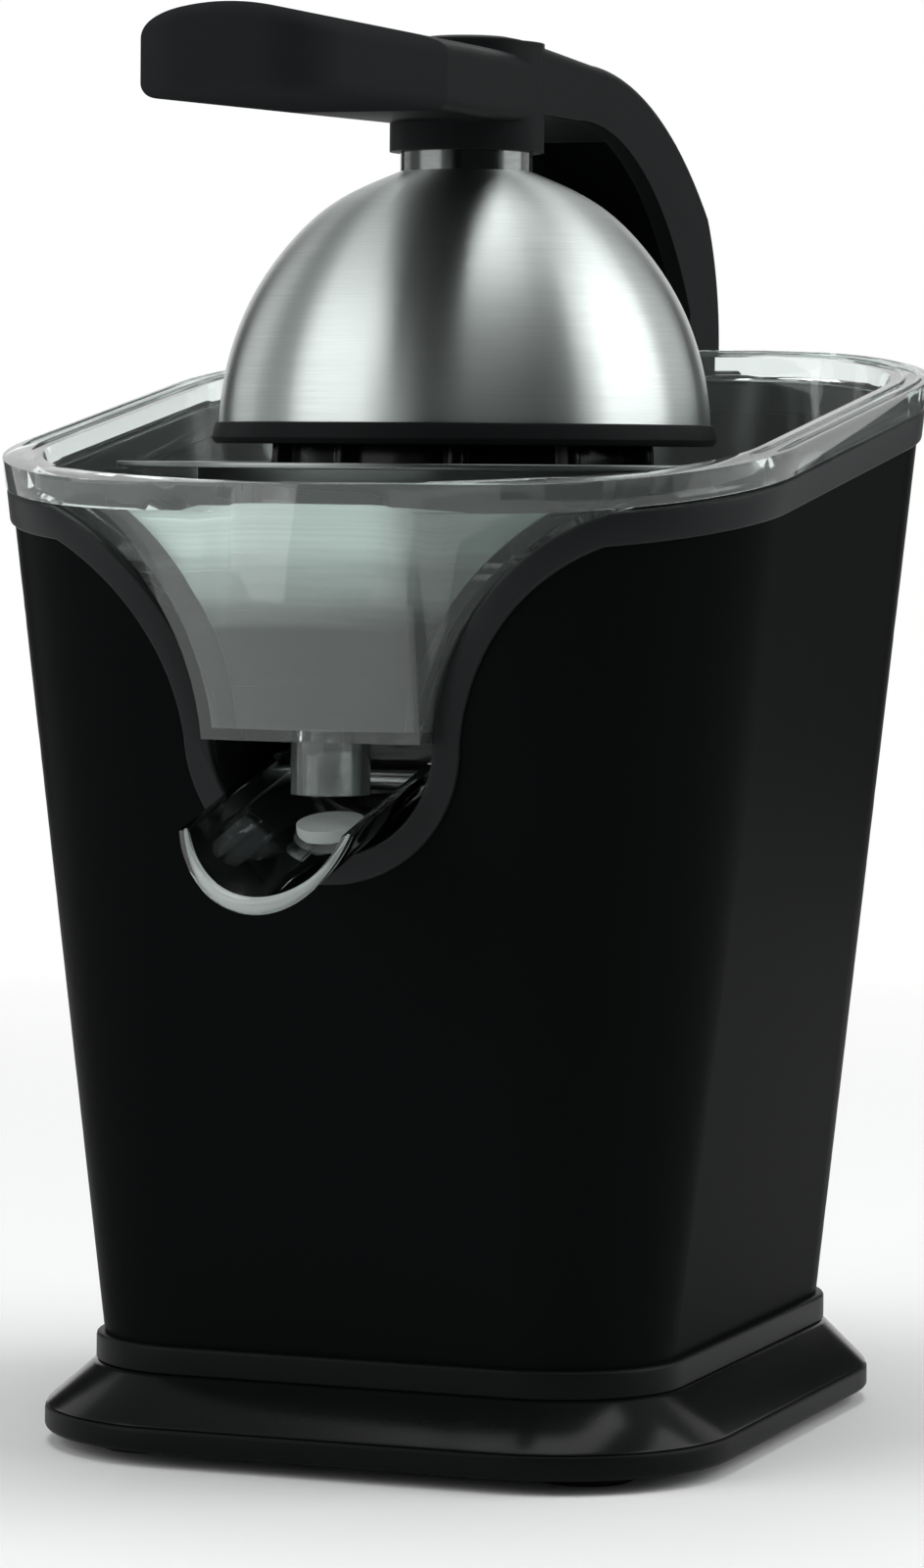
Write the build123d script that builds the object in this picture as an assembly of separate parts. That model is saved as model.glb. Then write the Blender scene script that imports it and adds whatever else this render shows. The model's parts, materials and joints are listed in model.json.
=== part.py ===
from build123d import *
from math import atan, cos, degrees, pi, radians, sin
import os

# Citrus press, millimetres. X is the width, -Y the front, +Z up, the drive axis stands at X = Y = 0.

# Outlines of the tapered body: half width, reach to the front, reach to the back, corner radius
COLLAR_OUTLINE = (64.8, 67.8, 82.8, 26.3)
RIM_OUTLINE = (91.0, 93.5, 101.0, 55.0)
SKIRT_OUTLINE = (77.5, 81.5, 93.0, 39.5)

# Heights of the base and the body
FOOT_HEIGHT = 3.0
SKIRT_TOP = 8.4
COLLAR_BOTTOM = 18.0
BODY_BOTTOM = 24.0
RIM_REFERENCE = 240.0
BODY_WALL = 2.5
BASE_WALL = 2.5
PLATE_THICKNESS = 2.5
COLLAR_PROUD = 1.8
FIT = 0.3

# The slanted rim: height over the drive axis, rise per mm towards the back, and its layers
RIM_HEIGHT = 223.6
RIM_SLOPE = 0.16
FLANGE_THICKNESS = 6.0
GASKET_THICKNESS = 0.8
TRIM_BAND = 7.0
TRIM_PROUD = 1.0
FLANGE_PROUD = 1.2

# The mouth at the front: a round foot, then sides that flare out to the rim
MOUTH_RADIUS = 25.0
MOUTH_CENTRE = 156.0
FLARE_MIDDLE = (38.6, 187.0)
FLARE_END = (70.0, 205.5)
MOUTH_FRAME = 6.0
MOUTH_DEPTH = 45.0

# Juice bowl, its front pocket and its nozzle
BOWL_FLOOR = 190.0
BOWL_WALL = 2.5
BOWL_INSET = 5.0
BOWL_TUBE_RADIUS = 15.5
BOWL_TUBE_HEIGHT = 18.0
POCKET_FLOOR = 155.4
POCKET_CLEARANCE = 0.4
POCKET_BACK = -50.0
POCKET_FRONT = -92.0
POCKET_BULGE = 140.0
NOZZLE_Y = -78.0
NOZZLE_RADIUS = 8.4
NOZZLE_WALL = 2.0
NOZZLE_BOTTOM = 144.0
LINER_THICKNESS = 0.8
LINER_SETBACK = 4.5
LINER_MARGIN = 3.8
LINER_TOP = 204.0

# Strainer
STRAINER_RIM_RADIUS = 77.0
STRAINER_WALL_RADIUS = 59.0
STRAINER_LIFT = 13.0
STRAINER_DEPTH = 10.2
STRAINER_THICKNESS = 1.2
STRAINER_HOLE = 17.0
SLOT_WIDTH = 2.2
SLOT_LENGTH = 15.0
SLOT_COUNT = 28
POST_RADIUS = 3.0
POST_RING = 52.0
POST_ANGLES = (0, 60, 120, 180, 218, 322)

# Reamer
REAMER_BASE = 209.0
REAMER_RADIUS = 44.0
REAMER_TOP = 269.0
RIB_HEIGHT = 4.0
RIB_COUNT = 10
RIB_HALF_THICKNESS = 2.2
REAMER_SHELL = 3.0
REAMER_HUB_RADIUS = 9.0
REAMER_HUB_BOTTOM = 211.0

# Dome of the press arm
DOME_BASE = 219.5
DOME_RADIUS = 54.5
DOME_HEIGHT = 60.5
DOME_WALL = 1.0
DOME_RING_RADIUS = 56.0
DOME_RING_BOTTOM = 217.3
DOME_RING_TOP = 222.0
NECK_RADIUS = 14.7
HUB_RADIUS = 17.1
NECK_SHOWN = 2.0
HUB_HEIGHT = 24.0
CAP_THICKNESS = 1.5
CAP_RADIUS = 12.5
BOLT_RADIUS = 3.0
BOLT_HEAD_RADIUS = 6.0
BOLT_HEAD_HEIGHT = 3.0
BOLT_GRIP = 16.0

# Press arm, seen from the side as distances behind the drive axis and drops below the hub's top
ARM_HALF_WIDTH = 17.0
ARM_WALL = 4.0
ARM_EDGE = 3.0
ARM_TOP_END = (40.0, 2.2)
ARM_SHOULDER = (90.6, 13.0)
ARM_BEND = (122.0, 32.8)
ARM_BEND_MIDDLE = (129.1, 47.2)
ARM_BACK = 131.8
ARM_BACK_DROP = 63.0
ARM_FRONT = 107.0
ARM_FRONT_DROP = 56.5
ARM_UNDER_MIDDLE = (78.0, 28.4)
ARM_UNDER_START = 26.0
ARM_ROOT_DEPTH = 15.6
HINGE_Y = 118.7
HINGE_Z = 222.0
HINGE_EYE_RADIUS = 11.7
HINGE_PIN_RADIUS = 4.0
BUSH_WALL = 2.0

# Handle
HANDLE_REACH = 140.0
HANDLE_TIP_HALF_WIDTH = 22.0
HANDLE_TIP_CORNER = 13.0
HANDLE_STEP = 1.0
HANDLE_TIP_THICKNESS = 18.8
HANDLE_ROOT_THICKNESS = 16.7
UNDER_PLATE_THICKNESS = 2.4
UNDER_PLATE_MARGIN = 4.5
HANDLE_EDGE = 3.0
HANDLE_CROWN = 3.5
HANDLE_CROWN_RADIUS = 50.0
HANDLE_JOINT = 63.0
TONGUE_LENGTH = 46.0
TONGUE_HALF_WIDTH = 10.0
TONGUE_HALF_HEIGHT = 2.5
TONGUE_DROP = 7.4
GRIP_SCREW_SHARES = (0.3, 0.75)

# Hinge tower on the back of the body
TOWER_HALF_WIDTH = 26.0
TOWER_BACK = 140.0
TOWER_BOTTOM = 112.0
TOWER_FOOT = 104.0
TOWER_SHOULDER = 160.0
TOWER_SLOT_FLOOR = 207.0
TOWER_EYE_RADIUS = 12.7
TOWER_EDGE = 5.0
SIDE_PLAY = 0.6

# Spout scoop
SCOOP_RADIUS = 20.3
SCOOP_WALL = 2.2
SCOOP_LENGTH = 72.0
SCOOP_TILT = 14.5
SCOOP_HINGE_Y = -56.0
SCOOP_HINGE_Z = 146.0
SCOOP_FLOOR_AT_HINGE = 138.7
SCOOP_TIP_CUT = 11.0
SCOOP_DEPTH = 13.6
SCOOP_PIN_RADIUS = 2.0
PLUG_RADIUS = 7.2
PLUG_STEM_RADIUS = 3.5
PLUG_THICKNESS = 2.6
PLUG_TOP = 138.2

# Deck under the bowl
DECK_DROP = 7.0
DECK_THICKNESS = 3.0
DECK_TOWER_RADIUS = 11.0
DECK_TOWER_BORE = 7.0
DECK_TOWER_HEIGHT = 22.0
SEAL_HEIGHT = 3.0
BUSH_HEIGHT = 14.0

# Drive: one spur pair, the output gear on the drive axis and the motor behind it
GEAR_MODULE = 1.0
GEAR_TEETH = 62
PINION_TEETH = 14
TOOTH_ADDENDUM = 0.75
TOOTH_DEDENDUM = 1.2
TOOTH_ROOT_SHARE = 0.46
TOOTH_TIP_SHARE = 0.2
GEAR_BOTTOM = 94.5
GEAR_THICKNESS = 8.0
GEAR_HUB_RADIUS = 9.0
GEAR_HUB_TOP = 106.0
SHAFT_RADIUS = 4.0
SHAFT_BOTTOM = 86.0
SHAFT_TOP = 240.0
SHAFT_COLLAR_RADIUS = 8.5
SHAFT_COLLAR_BOTTOM = 118.0
SHAFT_COLLAR_HEIGHT = 2.0
SPRING_WIRE = 1.2
SPRING_GAP = 1.2
SPRING_TURNS = 4
RUNNING_FIT = 0.1
CARRIER_BOTTOM = 88.0
CARRIER_THICKNESS = 4.0
CARRIER_HALF_WIDTH = 54.0
CARRIER_FRONT = -45.0
CARRIER_BACK = 78.0
COVER_TOP = 126.0
COVER_HALF_WIDTH = 36.0
COVER_FRONT = -37.0
COVER_BACK = 51.0
COVER_WALL = 2.0
COVER_LUG = 6.0
CHASSIS_POST_RADIUS = 5.0
CHASSIS_POSTS = ((-45.0, -35.0), (45.0, -35.0), (-45.0, 44.0), (45.0, 44.0))
SCREW_RADIUS = 1.6
SCREW_HEAD_RADIUS = 3.2
SCREW_HEAD_HEIGHT = 2.0
SCREW_DEPTH = 10.0

# Motor
MOTOR_RADIUS = 30.0
MOTOR_BOTTOM = 24.0
MOTOR_WALL = 2.0
MAGNET_THICKNESS = 6.0
ROTOR_GAP = 0.8
ROTOR_HEIGHT = 40.0
MOTOR_SHAFT_RADIUS = 3.0
MOTOR_SCREW_RING = 20.0

# Start switch under the drive shaft
SWITCH_HALF_WIDTH = 12.0
SWITCH_FRONT = -14.0
SWITCH_BACK = 6.0
SWITCH_BOTTOM = 60.0
SWITCH_TOP = 78.0
SWITCH_TAB = 2.5
PLUNGER_RADIUS = 2.0
PLUNGER_BOTTOM = 68.0
PLUNGER_ROOM = 4.0

# Feet and the cord inlet
FOOT_RADIUS = 11.0
FEET = ((-50.0, -56.0), (50.0, -56.0), (-50.0, 66.0), (50.0, 66.0))
INLET_X = 34.0
INLET_Z = 46.0
INLET_RADIUS = 5.0
INLET_BORE = 3.2
INLET_FLANGE = 8.0
INLET_FLANGE_THICKNESS = 2.0
INLET_DEPTH = 7.5

SPAN = 600.0
FORM_MARGIN = 20.0
MOTOR_Y = GEAR_MODULE * (GEAR_TEETH + PINION_TEETH) / 2
CARRIER_TOP = CARRIER_BOTTOM + CARRIER_THICKNESS
PLATE_TOP = FOOT_HEIGHT + PLATE_THICKNESS
DECK_BOTTOM = BOWL_FLOOR - DECK_DROP
DECK_TOWER_TOP = DECK_BOTTOM + DECK_TOWER_HEIGHT
STRAINER_FLOOR = BOWL_FLOOR + STRAINER_LIFT
HUB_BOTTOM = DOME_BASE + DOME_HEIGHT + NECK_SHOWN
HUB_TOP = HUB_BOTTOM + HUB_HEIGHT
BOLT_TOP = HUB_BOTTOM + BOLT_GRIP
HANDLE_TOP = HUB_TOP - HANDLE_STEP
HANDLE_TIP_BOTTOM = HANDLE_TOP - HANDLE_TIP_THICKNESS
HANDLE_ROOT_BOTTOM = HANDLE_TOP - HANDLE_ROOT_THICKNESS
TONGUE_MIDDLE = HANDLE_TOP - TONGUE_DROP


def cylinder(radius, low, high, x=0.0, y=0.0):
    return Pos(x, y, (low + high) / 2) * Cylinder(radius, high - low)


def tube(outer, inner, low, high, x=0.0, y=0.0):
    return cylinder(outer, low, high, x, y) - cylinder(inner, low, high, x, y)


def block(x_range, y_range, z_range):
    sizes = [high - low for low, high in (x_range, y_range, z_range)]
    middle = [(high + low) / 2 for low, high in (x_range, y_range, z_range)]
    return Pos(*middle) * Box(*sizes)


def rod_along_x(radius, half_length, y, z):
    return Pos(0, y, z) * Rot(0, 90, 0) * Cylinder(radius, 2 * half_length)


def side_face(*edges):
    """A face drawn in side view: first number along Y, second number along Z"""
    return Plane.YZ.location * make_face(edges)


def across(face, half_width):
    """Push a side view face out to both sides of the middle plane"""
    return extrude(face, half_width, both=True)


def from_front(face, back_y, front_y):
    """Push a front view face (X, height) from back_y forward to front_y"""
    return extrude(Pos(0, back_y, 0) * Plane.XZ.location * face, back_y - front_y)


def outline(size, grow=0.0):
    half_width, front, back, corner = size
    face = RectangleRounded(2 * (half_width + grow), front + back + 2 * grow, corner + grow)
    return Pos(0, (back - front) / 2) * face


def size_at(height):
    share = (height - BODY_BOTTOM) / (RIM_REFERENCE - BODY_BOTTOM)
    return [low + share * (high - low) for low, high in zip(COLLAR_OUTLINE, RIM_OUTLINE)]


def body_form(grow, low=BODY_BOTTOM, high=RIM_REFERENCE + FORM_MARGIN):
    """The tapered body form between two heights, its walls moved out by grow"""
    ends = [Pos(0, 0, height) * outline(size_at(height), grow) for height in (low, high)]
    return loft(ends, ruled=True)


RIM_ANGLE = degrees(atan(RIM_SLOPE))


def rim_slab(low, high):
    """Everything between two planes parallel to the rim's top, measured square to it"""
    layer = Pos(0, 0, (low + high) / 2) * Box(SPAN, SPAN, high - low)
    return Pos(0, 0, RIM_HEIGHT) * Rot(RIM_ANGLE, 0, 0) * layer


def mouth_face(grow=0.0):
    """Front view of the mouth, open well above the rim"""
    middle_x, middle_z = FLARE_MIDDLE
    end_x, end_z = FLARE_END
    foot_right = (MOUTH_RADIUS, MOUTH_CENTRE)
    foot_left = (-MOUTH_RADIUS, MOUTH_CENTRE)
    foot = ThreePointArc(foot_left, (0, MOUTH_CENTRE - MOUTH_RADIUS), foot_right)
    right = ThreePointArc(foot_right, (middle_x, middle_z), (end_x, end_z))
    left = ThreePointArc((-end_x, end_z), (-middle_x, middle_z), foot_left)
    top = Polyline((end_x, end_z), (end_x, RIM_REFERENCE), (-end_x, RIM_REFERENCE), (-end_x, end_z))
    face = make_face([foot, right, top, left])
    return offset(face, grow) if grow else face


def mouth_block(grow, back_y=0.0, front_y=-SPAN / 4):
    return from_front(mouth_face(grow), back_y, front_y)


def spur_gear(teeth, low, high):
    """Spur gear with slim tapered teeth, its first tooth towards +X"""
    pitch_radius = GEAR_MODULE * teeth / 2
    root = pitch_radius - TOOTH_DEDENDUM * GEAR_MODULE
    tip = pitch_radius + TOOTH_ADDENDUM * GEAR_MODULE
    root_half = TOOTH_ROOT_SHARE * GEAR_MODULE * pi / 2
    tip_half = TOOTH_TIP_SHARE * GEAR_MODULE * pi / 2
    inside = root - GEAR_MODULE / 2
    corners = ((inside, -root_half), (root, -root_half), (tip, -tip_half), (tip, tip_half), (root, root_half))
    tooth = make_face(Polyline(*corners, (inside, root_half), close=True))
    face = Circle(root) + [location * tooth for location in PolarLocations(0, teeth)]
    return extrude(Pos(0, 0, low) * face, high - low)


def screw(low, high, x, y, head_at_top=True):
    """Screw along Z with its head beyond the named end"""
    head_low = high if head_at_top else low - SCREW_HEAD_HEIGHT
    head = cylinder(SCREW_HEAD_RADIUS, head_low, head_low + SCREW_HEAD_HEIGHT, x, y)
    return cylinder(SCREW_RADIUS, low, high, x, y) + head


parts = {}

# Base: feet, plate, skirt, sloped moulding and collar
parts["rubber_feet"] = [cylinder(FOOT_RADIUS, 0, FOOT_HEIGHT, x, y) for x, y in FEET]

plate_grow = -BASE_WALL
skirt_outer = extrude(Pos(0, 0, FOOT_HEIGHT) * outline(SKIRT_OUTLINE), SKIRT_TOP - FOOT_HEIGHT)
skirt_inner = extrude(Pos(0, 0, FOOT_HEIGHT) * outline(SKIRT_OUTLINE, plate_grow), SKIRT_TOP - FOOT_HEIGHT)
parts["base_skirt"] = skirt_outer - skirt_inner

base_plate = extrude(Pos(0, 0, FOOT_HEIGHT) * outline(SKIRT_OUTLINE, plate_grow), PLATE_THICKNESS)
screw_well = FOOT_HEIGHT + SCREW_HEAD_HEIGHT
for x, y in CHASSIS_POSTS:
    base_plate -= cylinder(SCREW_RADIUS, FOOT_HEIGHT, PLATE_TOP, x, y)
    base_plate -= cylinder(SCREW_HEAD_RADIUS + FIT, FOOT_HEIGHT, screw_well, x, y)
parts["base_plate"] = base_plate


def base_slope(grow):
    low = Pos(0, 0, SKIRT_TOP) * outline(SKIRT_OUTLINE, grow)
    high = Pos(0, 0, COLLAR_BOTTOM) * outline(COLLAR_OUTLINE, COLLAR_PROUD + grow)
    return loft([low, high], ruled=True)


parts["base_moulding"] = base_slope(0) - base_slope(-BASE_WALL)
collar_face = outline(COLLAR_OUTLINE, COLLAR_PROUD) - outline(COLLAR_OUTLINE, -BODY_WALL)
parts["collar_ring"] = extrude(Pos(0, 0, COLLAR_BOTTOM) * collar_face, BODY_BOTTOM - COLLAR_BOTTOM)

# Body shell with the mouth and the cord inlet cut out
trim_top = -FLANGE_THICKNESS - GASKET_THICKNESS
trim_bottom = trim_top - TRIM_BAND
inlet_y = size_at(INLET_Z)[2]


def inlet_rod(radius, front_y, back_y):
    rod = Rot(90, 0, 0) * Cylinder(radius, back_y - front_y)
    return Pos(INLET_X, (front_y + back_y) / 2, INLET_Z) * rod


body_walls = body_form(0) - body_form(-BODY_WALL)
body_shell = body_walls - rim_slab(trim_bottom, SPAN / 4) - mouth_block(MOUTH_FRAME)
inlet_hole = inlet_rod(INLET_RADIUS, inlet_y - 2 * INLET_DEPTH, inlet_y + INLET_DEPTH)
parts["body_shell"] = body_shell - inlet_hole

inlet_sleeve = inlet_rod(INLET_RADIUS, inlet_y - INLET_DEPTH, inlet_y + INLET_FLANGE_THICKNESS)
inlet_flange = inlet_rod(INLET_FLANGE, inlet_y - BODY_WALL, inlet_y + INLET_FLANGE_THICKNESS) - body_form(0)
inlet_bore = inlet_rod(INLET_BORE, inlet_y - 2 * INLET_DEPTH, inlet_y + INLET_DEPTH)
parts["cord_inlet"] = inlet_sleeve + inlet_flange - inlet_bore

# Trim band under the rim that runs on round the mouth
trim_walls = body_form(TRIM_PROUD) - body_form(-BODY_WALL)
trim_zone = rim_slab(trim_bottom, trim_top) + (mouth_block(MOUTH_FRAME) & rim_slab(-SPAN / 2, trim_top))
parts["mouth_trim"] = (trim_walls & trim_zone) - mouth_block(0)

gasket = (body_form(-BODY_WALL / 2) - body_form(-BODY_WALL)) & rim_slab(trim_top, -FLANGE_THICKNESS)
parts["bowl_gasket"] = gasket - mouth_block(0)

# Deck under the bowl: plate, shaft tower and the recess behind the mouth
deck_grow = -BODY_WALL - FIT
deck_top = DECK_BOTTOM + DECK_THICKNESS
recess_outer = mouth_block(MOUTH_FRAME / 2, -MOUTH_DEPTH + BODY_WALL)
recess_outer &= body_form(deck_grow, BODY_BOTTOM, deck_top)
recess_inner = mouth_block(0, -MOUTH_DEPTH)
deck = body_form(deck_grow, DECK_BOTTOM, deck_top) + recess_outer - recess_inner
deck += cylinder(DECK_TOWER_RADIUS, DECK_BOTTOM, DECK_TOWER_TOP)
deck -= cylinder(DECK_TOWER_BORE, DECK_BOTTOM, DECK_TOWER_TOP)
deck -= rod_along_x(SCOOP_PIN_RADIUS, MOUTH_RADIUS + MOUTH_FRAME, SCOOP_HINGE_Y, SCOOP_HINGE_Z)
parts["inner_deck"] = deck

seal_bottom = DECK_TOWER_TOP - SEAL_HEIGHT
shaft_bore = SHAFT_RADIUS + RUNNING_FIT
parts["shaft_seal"] = tube(DECK_TOWER_BORE, shaft_bore, seal_bottom, DECK_TOWER_TOP)
parts["shaft_bush"] = tube(DECK_TOWER_BORE, shaft_bore, DECK_BOTTOM, DECK_BOTTOM + BUSH_HEIGHT)

# Juice bowl
bowl_inner_floor = BOWL_FLOOR + BOWL_WALL
bowl_tube_top = BOWL_FLOOR + BOWL_TUBE_HEIGHT
flange = body_form(FLANGE_PROUD) & rim_slab(-FLANGE_THICKNESS, 0)
basin = body_form(-BOWL_INSET, BOWL_FLOOR) - rim_slab(0, SPAN / 4)
basin_space = body_form(-BOWL_INSET - BOWL_WALL, bowl_inner_floor)
bulge_y = POCKET_FRONT + POCKET_BULGE


def pocket_form(inset, floor):
    """The pocket that hangs in the mouth, with a softly rounded front"""
    form = mouth_block(-POCKET_CLEARANCE - inset, POCKET_BACK - inset)
    form &= cylinder(POCKET_BULGE - inset, floor, RIM_REFERENCE, 0, bulge_y)
    return form


pocket = pocket_form(0, POCKET_FLOOR) - rim_slab(0, SPAN / 4)
pocket_space = pocket_form(BOWL_WALL, POCKET_FLOOR + BOWL_WALL)
bowl = flange + basin + pocket - basin_space - pocket_space
bowl += cylinder(NOZZLE_RADIUS, NOZZLE_BOTTOM, POCKET_FLOOR + BOWL_WALL / 2, 0, NOZZLE_Y)
bowl -= cylinder(NOZZLE_RADIUS - NOZZLE_WALL, NOZZLE_BOTTOM, POCKET_FLOOR + BOWL_WALL, 0, NOZZLE_Y)
bowl += cylinder(BOWL_TUBE_RADIUS, BOWL_FLOOR, bowl_tube_top)
bowl -= cylinder(BOWL_TUBE_RADIUS - BOWL_WALL, BOWL_FLOOR, bowl_tube_top)
for angle in POST_ANGLES:
    post_x = POST_RING * cos(radians(angle))
    post_y = POST_RING * sin(radians(angle))
    bowl += cylinder(POST_RADIUS, BOWL_FLOOR, STRAINER_FLOOR, post_x, post_y)
parts["juice_bowl"] = bowl

liner_front = POCKET_BULGE - BOWL_WALL - LINER_SETBACK
liner_outer = pocket_form(BOWL_WALL + LINER_MARGIN, POCKET_FLOOR + BOWL_WALL)
liner_outer &= cylinder(liner_front, 0, SPAN, 0, bulge_y)
liner_gap = cylinder(liner_front - LINER_THICKNESS, 0, SPAN, 0, bulge_y)
parts["chute_liner"] = (liner_outer - liner_gap) & block((-SPAN, SPAN), (-SPAN, 0), (0, LINER_TOP))

# Strainer
wall_inside = STRAINER_WALL_RADIUS - STRAINER_THICKNESS
strainer_top = STRAINER_FLOOR + STRAINER_DEPTH
strainer = tube(STRAINER_RIM_RADIUS, wall_inside, strainer_top - STRAINER_THICKNESS, strainer_top)
strainer += tube(STRAINER_WALL_RADIUS, wall_inside, STRAINER_FLOOR, strainer_top)
strainer += tube(STRAINER_WALL_RADIUS, STRAINER_HOLE, STRAINER_FLOOR, STRAINER_FLOOR + STRAINER_THICKNESS)
slot = Box(SLOT_LENGTH, SLOT_WIDTH, 4 * STRAINER_THICKNESS)
slot_ring = (STRAINER_HOLE + wall_inside) / 2 - SLOT_LENGTH / 2
slots = [Pos(0, 0, STRAINER_FLOOR) * place * slot for place in PolarLocations(slot_ring, SLOT_COUNT)]
parts["strainer"] = strainer - slots


def dome_half(radius, base, height):
    """Half of an upright ellipse in front view, from the drive axis to the rim"""
    angles = [radians(angle) for angle in range(0, 91, 15)]
    points = [(radius * cos(angle), base + height * sin(angle)) for angle in angles[:-1]]
    curve = Spline(*points, (0, base + height), tangents=((0, 1), (-1, 0)))
    return make_face([curve, Polyline((0, base + height), (0, base), (radius, base))])


def strip(outer, low, high, inner=0.0):
    """Upright strip in front view between two radii and two heights"""
    return Pos((inner + outer) / 2, (low + high) / 2) * Rectangle(outer - inner, high - low)


def turned(face):
    """Turn a front view face once round the drive axis"""
    return revolve(Plane.XZ.location * face, Axis.Z)


# Reamer, hollow under its ribbed dome
reamer_height = REAMER_TOP - REAMER_BASE
core_radius = REAMER_RADIUS - RIB_HEIGHT
core_height = reamer_height - RIB_HEIGHT / 2
reamer_face = dome_half(core_radius, REAMER_BASE, core_height)
reamer_face -= dome_half(core_radius - REAMER_SHELL, REAMER_BASE, core_height - REAMER_SHELL)
reamer_face += strip(REAMER_HUB_RADIUS, REAMER_HUB_BOTTOM, REAMER_TOP - RIB_HEIGHT)
reamer_face -= strip(SHAFT_RADIUS, REAMER_HUB_BOTTOM, SHAFT_TOP)
rib_face = dome_half(REAMER_RADIUS, REAMER_BASE, reamer_height)
rib_face -= dome_half(core_radius - REAMER_SHELL / 2, REAMER_BASE, core_height - REAMER_SHELL / 2)
rib_face -= strip(REAMER_HUB_RADIUS, REAMER_BASE, REAMER_TOP)
rib = extrude(Plane.XZ.location * rib_face, RIB_HALF_THICKNESS, both=True)
reamer = turned(reamer_face)
for turn in range(RIB_COUNT):
    reamer += Rot(0, 0, turn * 360 / RIB_COUNT) * rib
parts["reamer"] = reamer

# Dome of the press arm
dome_top = DOME_BASE + DOME_HEIGHT
dome_inside = (DOME_RADIUS - DOME_WALL, DOME_BASE, DOME_HEIGHT - DOME_WALL)
bolt_head_bottom = dome_top - DOME_WALL - BOLT_HEAD_HEIGHT
dome_face = dome_half(DOME_RADIUS, DOME_BASE, DOME_HEIGHT) - dome_half(*dome_inside)
parts["dome_shell"] = turned(dome_face - strip(BOLT_RADIUS, DOME_BASE, dome_top))

ring_inner = DOME_RADIUS - 2 * DOME_WALL
dome_ring = tube(DOME_RING_RADIUS, ring_inner, DOME_RING_BOTTOM, DOME_BASE)
parts["dome_ring"] = dome_ring + tube(DOME_RING_RADIUS, DOME_RADIUS, DOME_BASE, DOME_RING_TOP)

neck_face = strip(NECK_RADIUS, DOME_BASE + DOME_HEIGHT / 2, HUB_BOTTOM, BOLT_RADIUS)
parts["dome_neck"] = turned(neck_face - dome_half(DOME_RADIUS, DOME_BASE, DOME_HEIGHT))

bolt_face = strip(BOLT_HEAD_RADIUS, bolt_head_bottom, dome_top) & dome_half(*dome_inside)
parts["dome_bolt"] = turned(bolt_face + strip(BOLT_RADIUS, bolt_head_bottom, BOLT_TOP))

# Press arm: a channel section, closed on top and open below
def below_hub_top(behind, drop):
    """Point in the arm's side view"""
    return (behind, HUB_TOP - drop)


arm_top_end = below_hub_top(*ARM_TOP_END)
arm_shoulder = below_hub_top(*ARM_SHOULDER)
arm_bend = below_hub_top(*ARM_BEND)
arm_bend_middle = below_hub_top(*ARM_BEND_MIDDLE)
arm_back_top = below_hub_top(ARM_BACK, ARM_BACK_DROP)
arm_front_top = below_hub_top(ARM_FRONT, ARM_FRONT_DROP)
arm_under_start = below_hub_top(ARM_UNDER_START, ARM_ROOT_DEPTH)
arm_edges = [
    Line((0, HUB_TOP), arm_top_end),
    ThreePointArc(arm_top_end, arm_shoulder, arm_bend),
    ThreePointArc(arm_bend, arm_bend_middle, arm_back_top),
    Polyline(arm_back_top, (ARM_BACK, HINGE_Z), (ARM_FRONT, HINGE_Z), arm_front_top),
    ThreePointArc(arm_front_top, below_hub_top(*ARM_UNDER_MIDDLE), arm_under_start),
    Polyline(arm_under_start, below_hub_top(0, ARM_ROOT_DEPTH), (0, HUB_TOP)),
]
arm_side = make_face(arm_edges)
channel_side = offset(arm_side, -ARM_WALL)
channel_face = channel_side + Pos(-ARM_WALL, -2 * ARM_WALL) * channel_side
arm = across(Plane.YZ.location * arm_side, ARM_HALF_WIDTH)
arm_back_middle = (ARM_BACK, (arm_back_top[1] + HINGE_Z) / 2)
outer_marks = ((ARM_TOP_END[0] / 2, HUB_TOP), arm_shoulder, arm_bend_middle, arm_back_middle)
outer_edges = []
for side_x in (-ARM_HALF_WIDTH, ARM_HALF_WIDTH):
    for y, z in outer_marks:
        outer_edges += arm.edges().sort_by_distance((side_x, y, z))[:1]
arm = fillet(outer_edges, ARM_EDGE)
arm -= across(Plane.YZ.location * channel_face, ARM_HALF_WIDTH - ARM_WALL)
arm += rod_along_x(HINGE_EYE_RADIUS, ARM_HALF_WIDTH, HINGE_Y, HINGE_Z)
arm -= rod_along_x(HINGE_PIN_RADIUS + BUSH_WALL, ARM_HALF_WIDTH, HINGE_Y, HINGE_Z)
arm += cylinder(HUB_RADIUS, HUB_BOTTOM, HUB_TOP)

# Handle bar: its root belongs to the arm, the grip in front of the joint slides over a tongue
tip_x = HANDLE_TIP_HALF_WIDTH
plan_corners = ((-ARM_HALF_WIDTH, 0), (-tip_x, -HANDLE_REACH), (tip_x, -HANDLE_REACH), (ARM_HALF_WIDTH, 0))
plan = make_face(Polyline(*plan_corners, close=True))
plan = fillet(plan.vertices().sort_by(Axis.Y)[:2], HANDLE_TIP_CORNER)
side_corners = (
    (0, HANDLE_ROOT_BOTTOM),
    (0, HANDLE_TOP),
    (-HANDLE_REACH, HANDLE_TOP),
    (-HANDLE_REACH, HANDLE_TIP_BOTTOM),
)
side = side_face(Polyline(*side_corners, close=True))
bar = extrude(Pos(0, 0, HANDLE_TIP_BOTTOM) * plan, HANDLE_TIP_THICKNESS) & across(side, SPAN / 4)
crown = Pos(0, 0, HANDLE_TOP - HANDLE_CROWN_RADIUS) * Rot(90, 0, 0) * Cylinder(HANDLE_CROWN_RADIUS, SPAN)
bar &= crown
back_edges = bar.faces().sort_by(Axis.Y)[-1].edges()
crown_face = bar.faces().sort_by_distance((0, -HANDLE_REACH / 2, HANDLE_TOP))[0]
top_edges = [edge for edge in crown_face.edges() if edge not in back_edges]
bar = fillet(top_edges, HANDLE_CROWN)
back_edges = bar.faces().sort_by(Axis.Y)[-1].edges()
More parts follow.
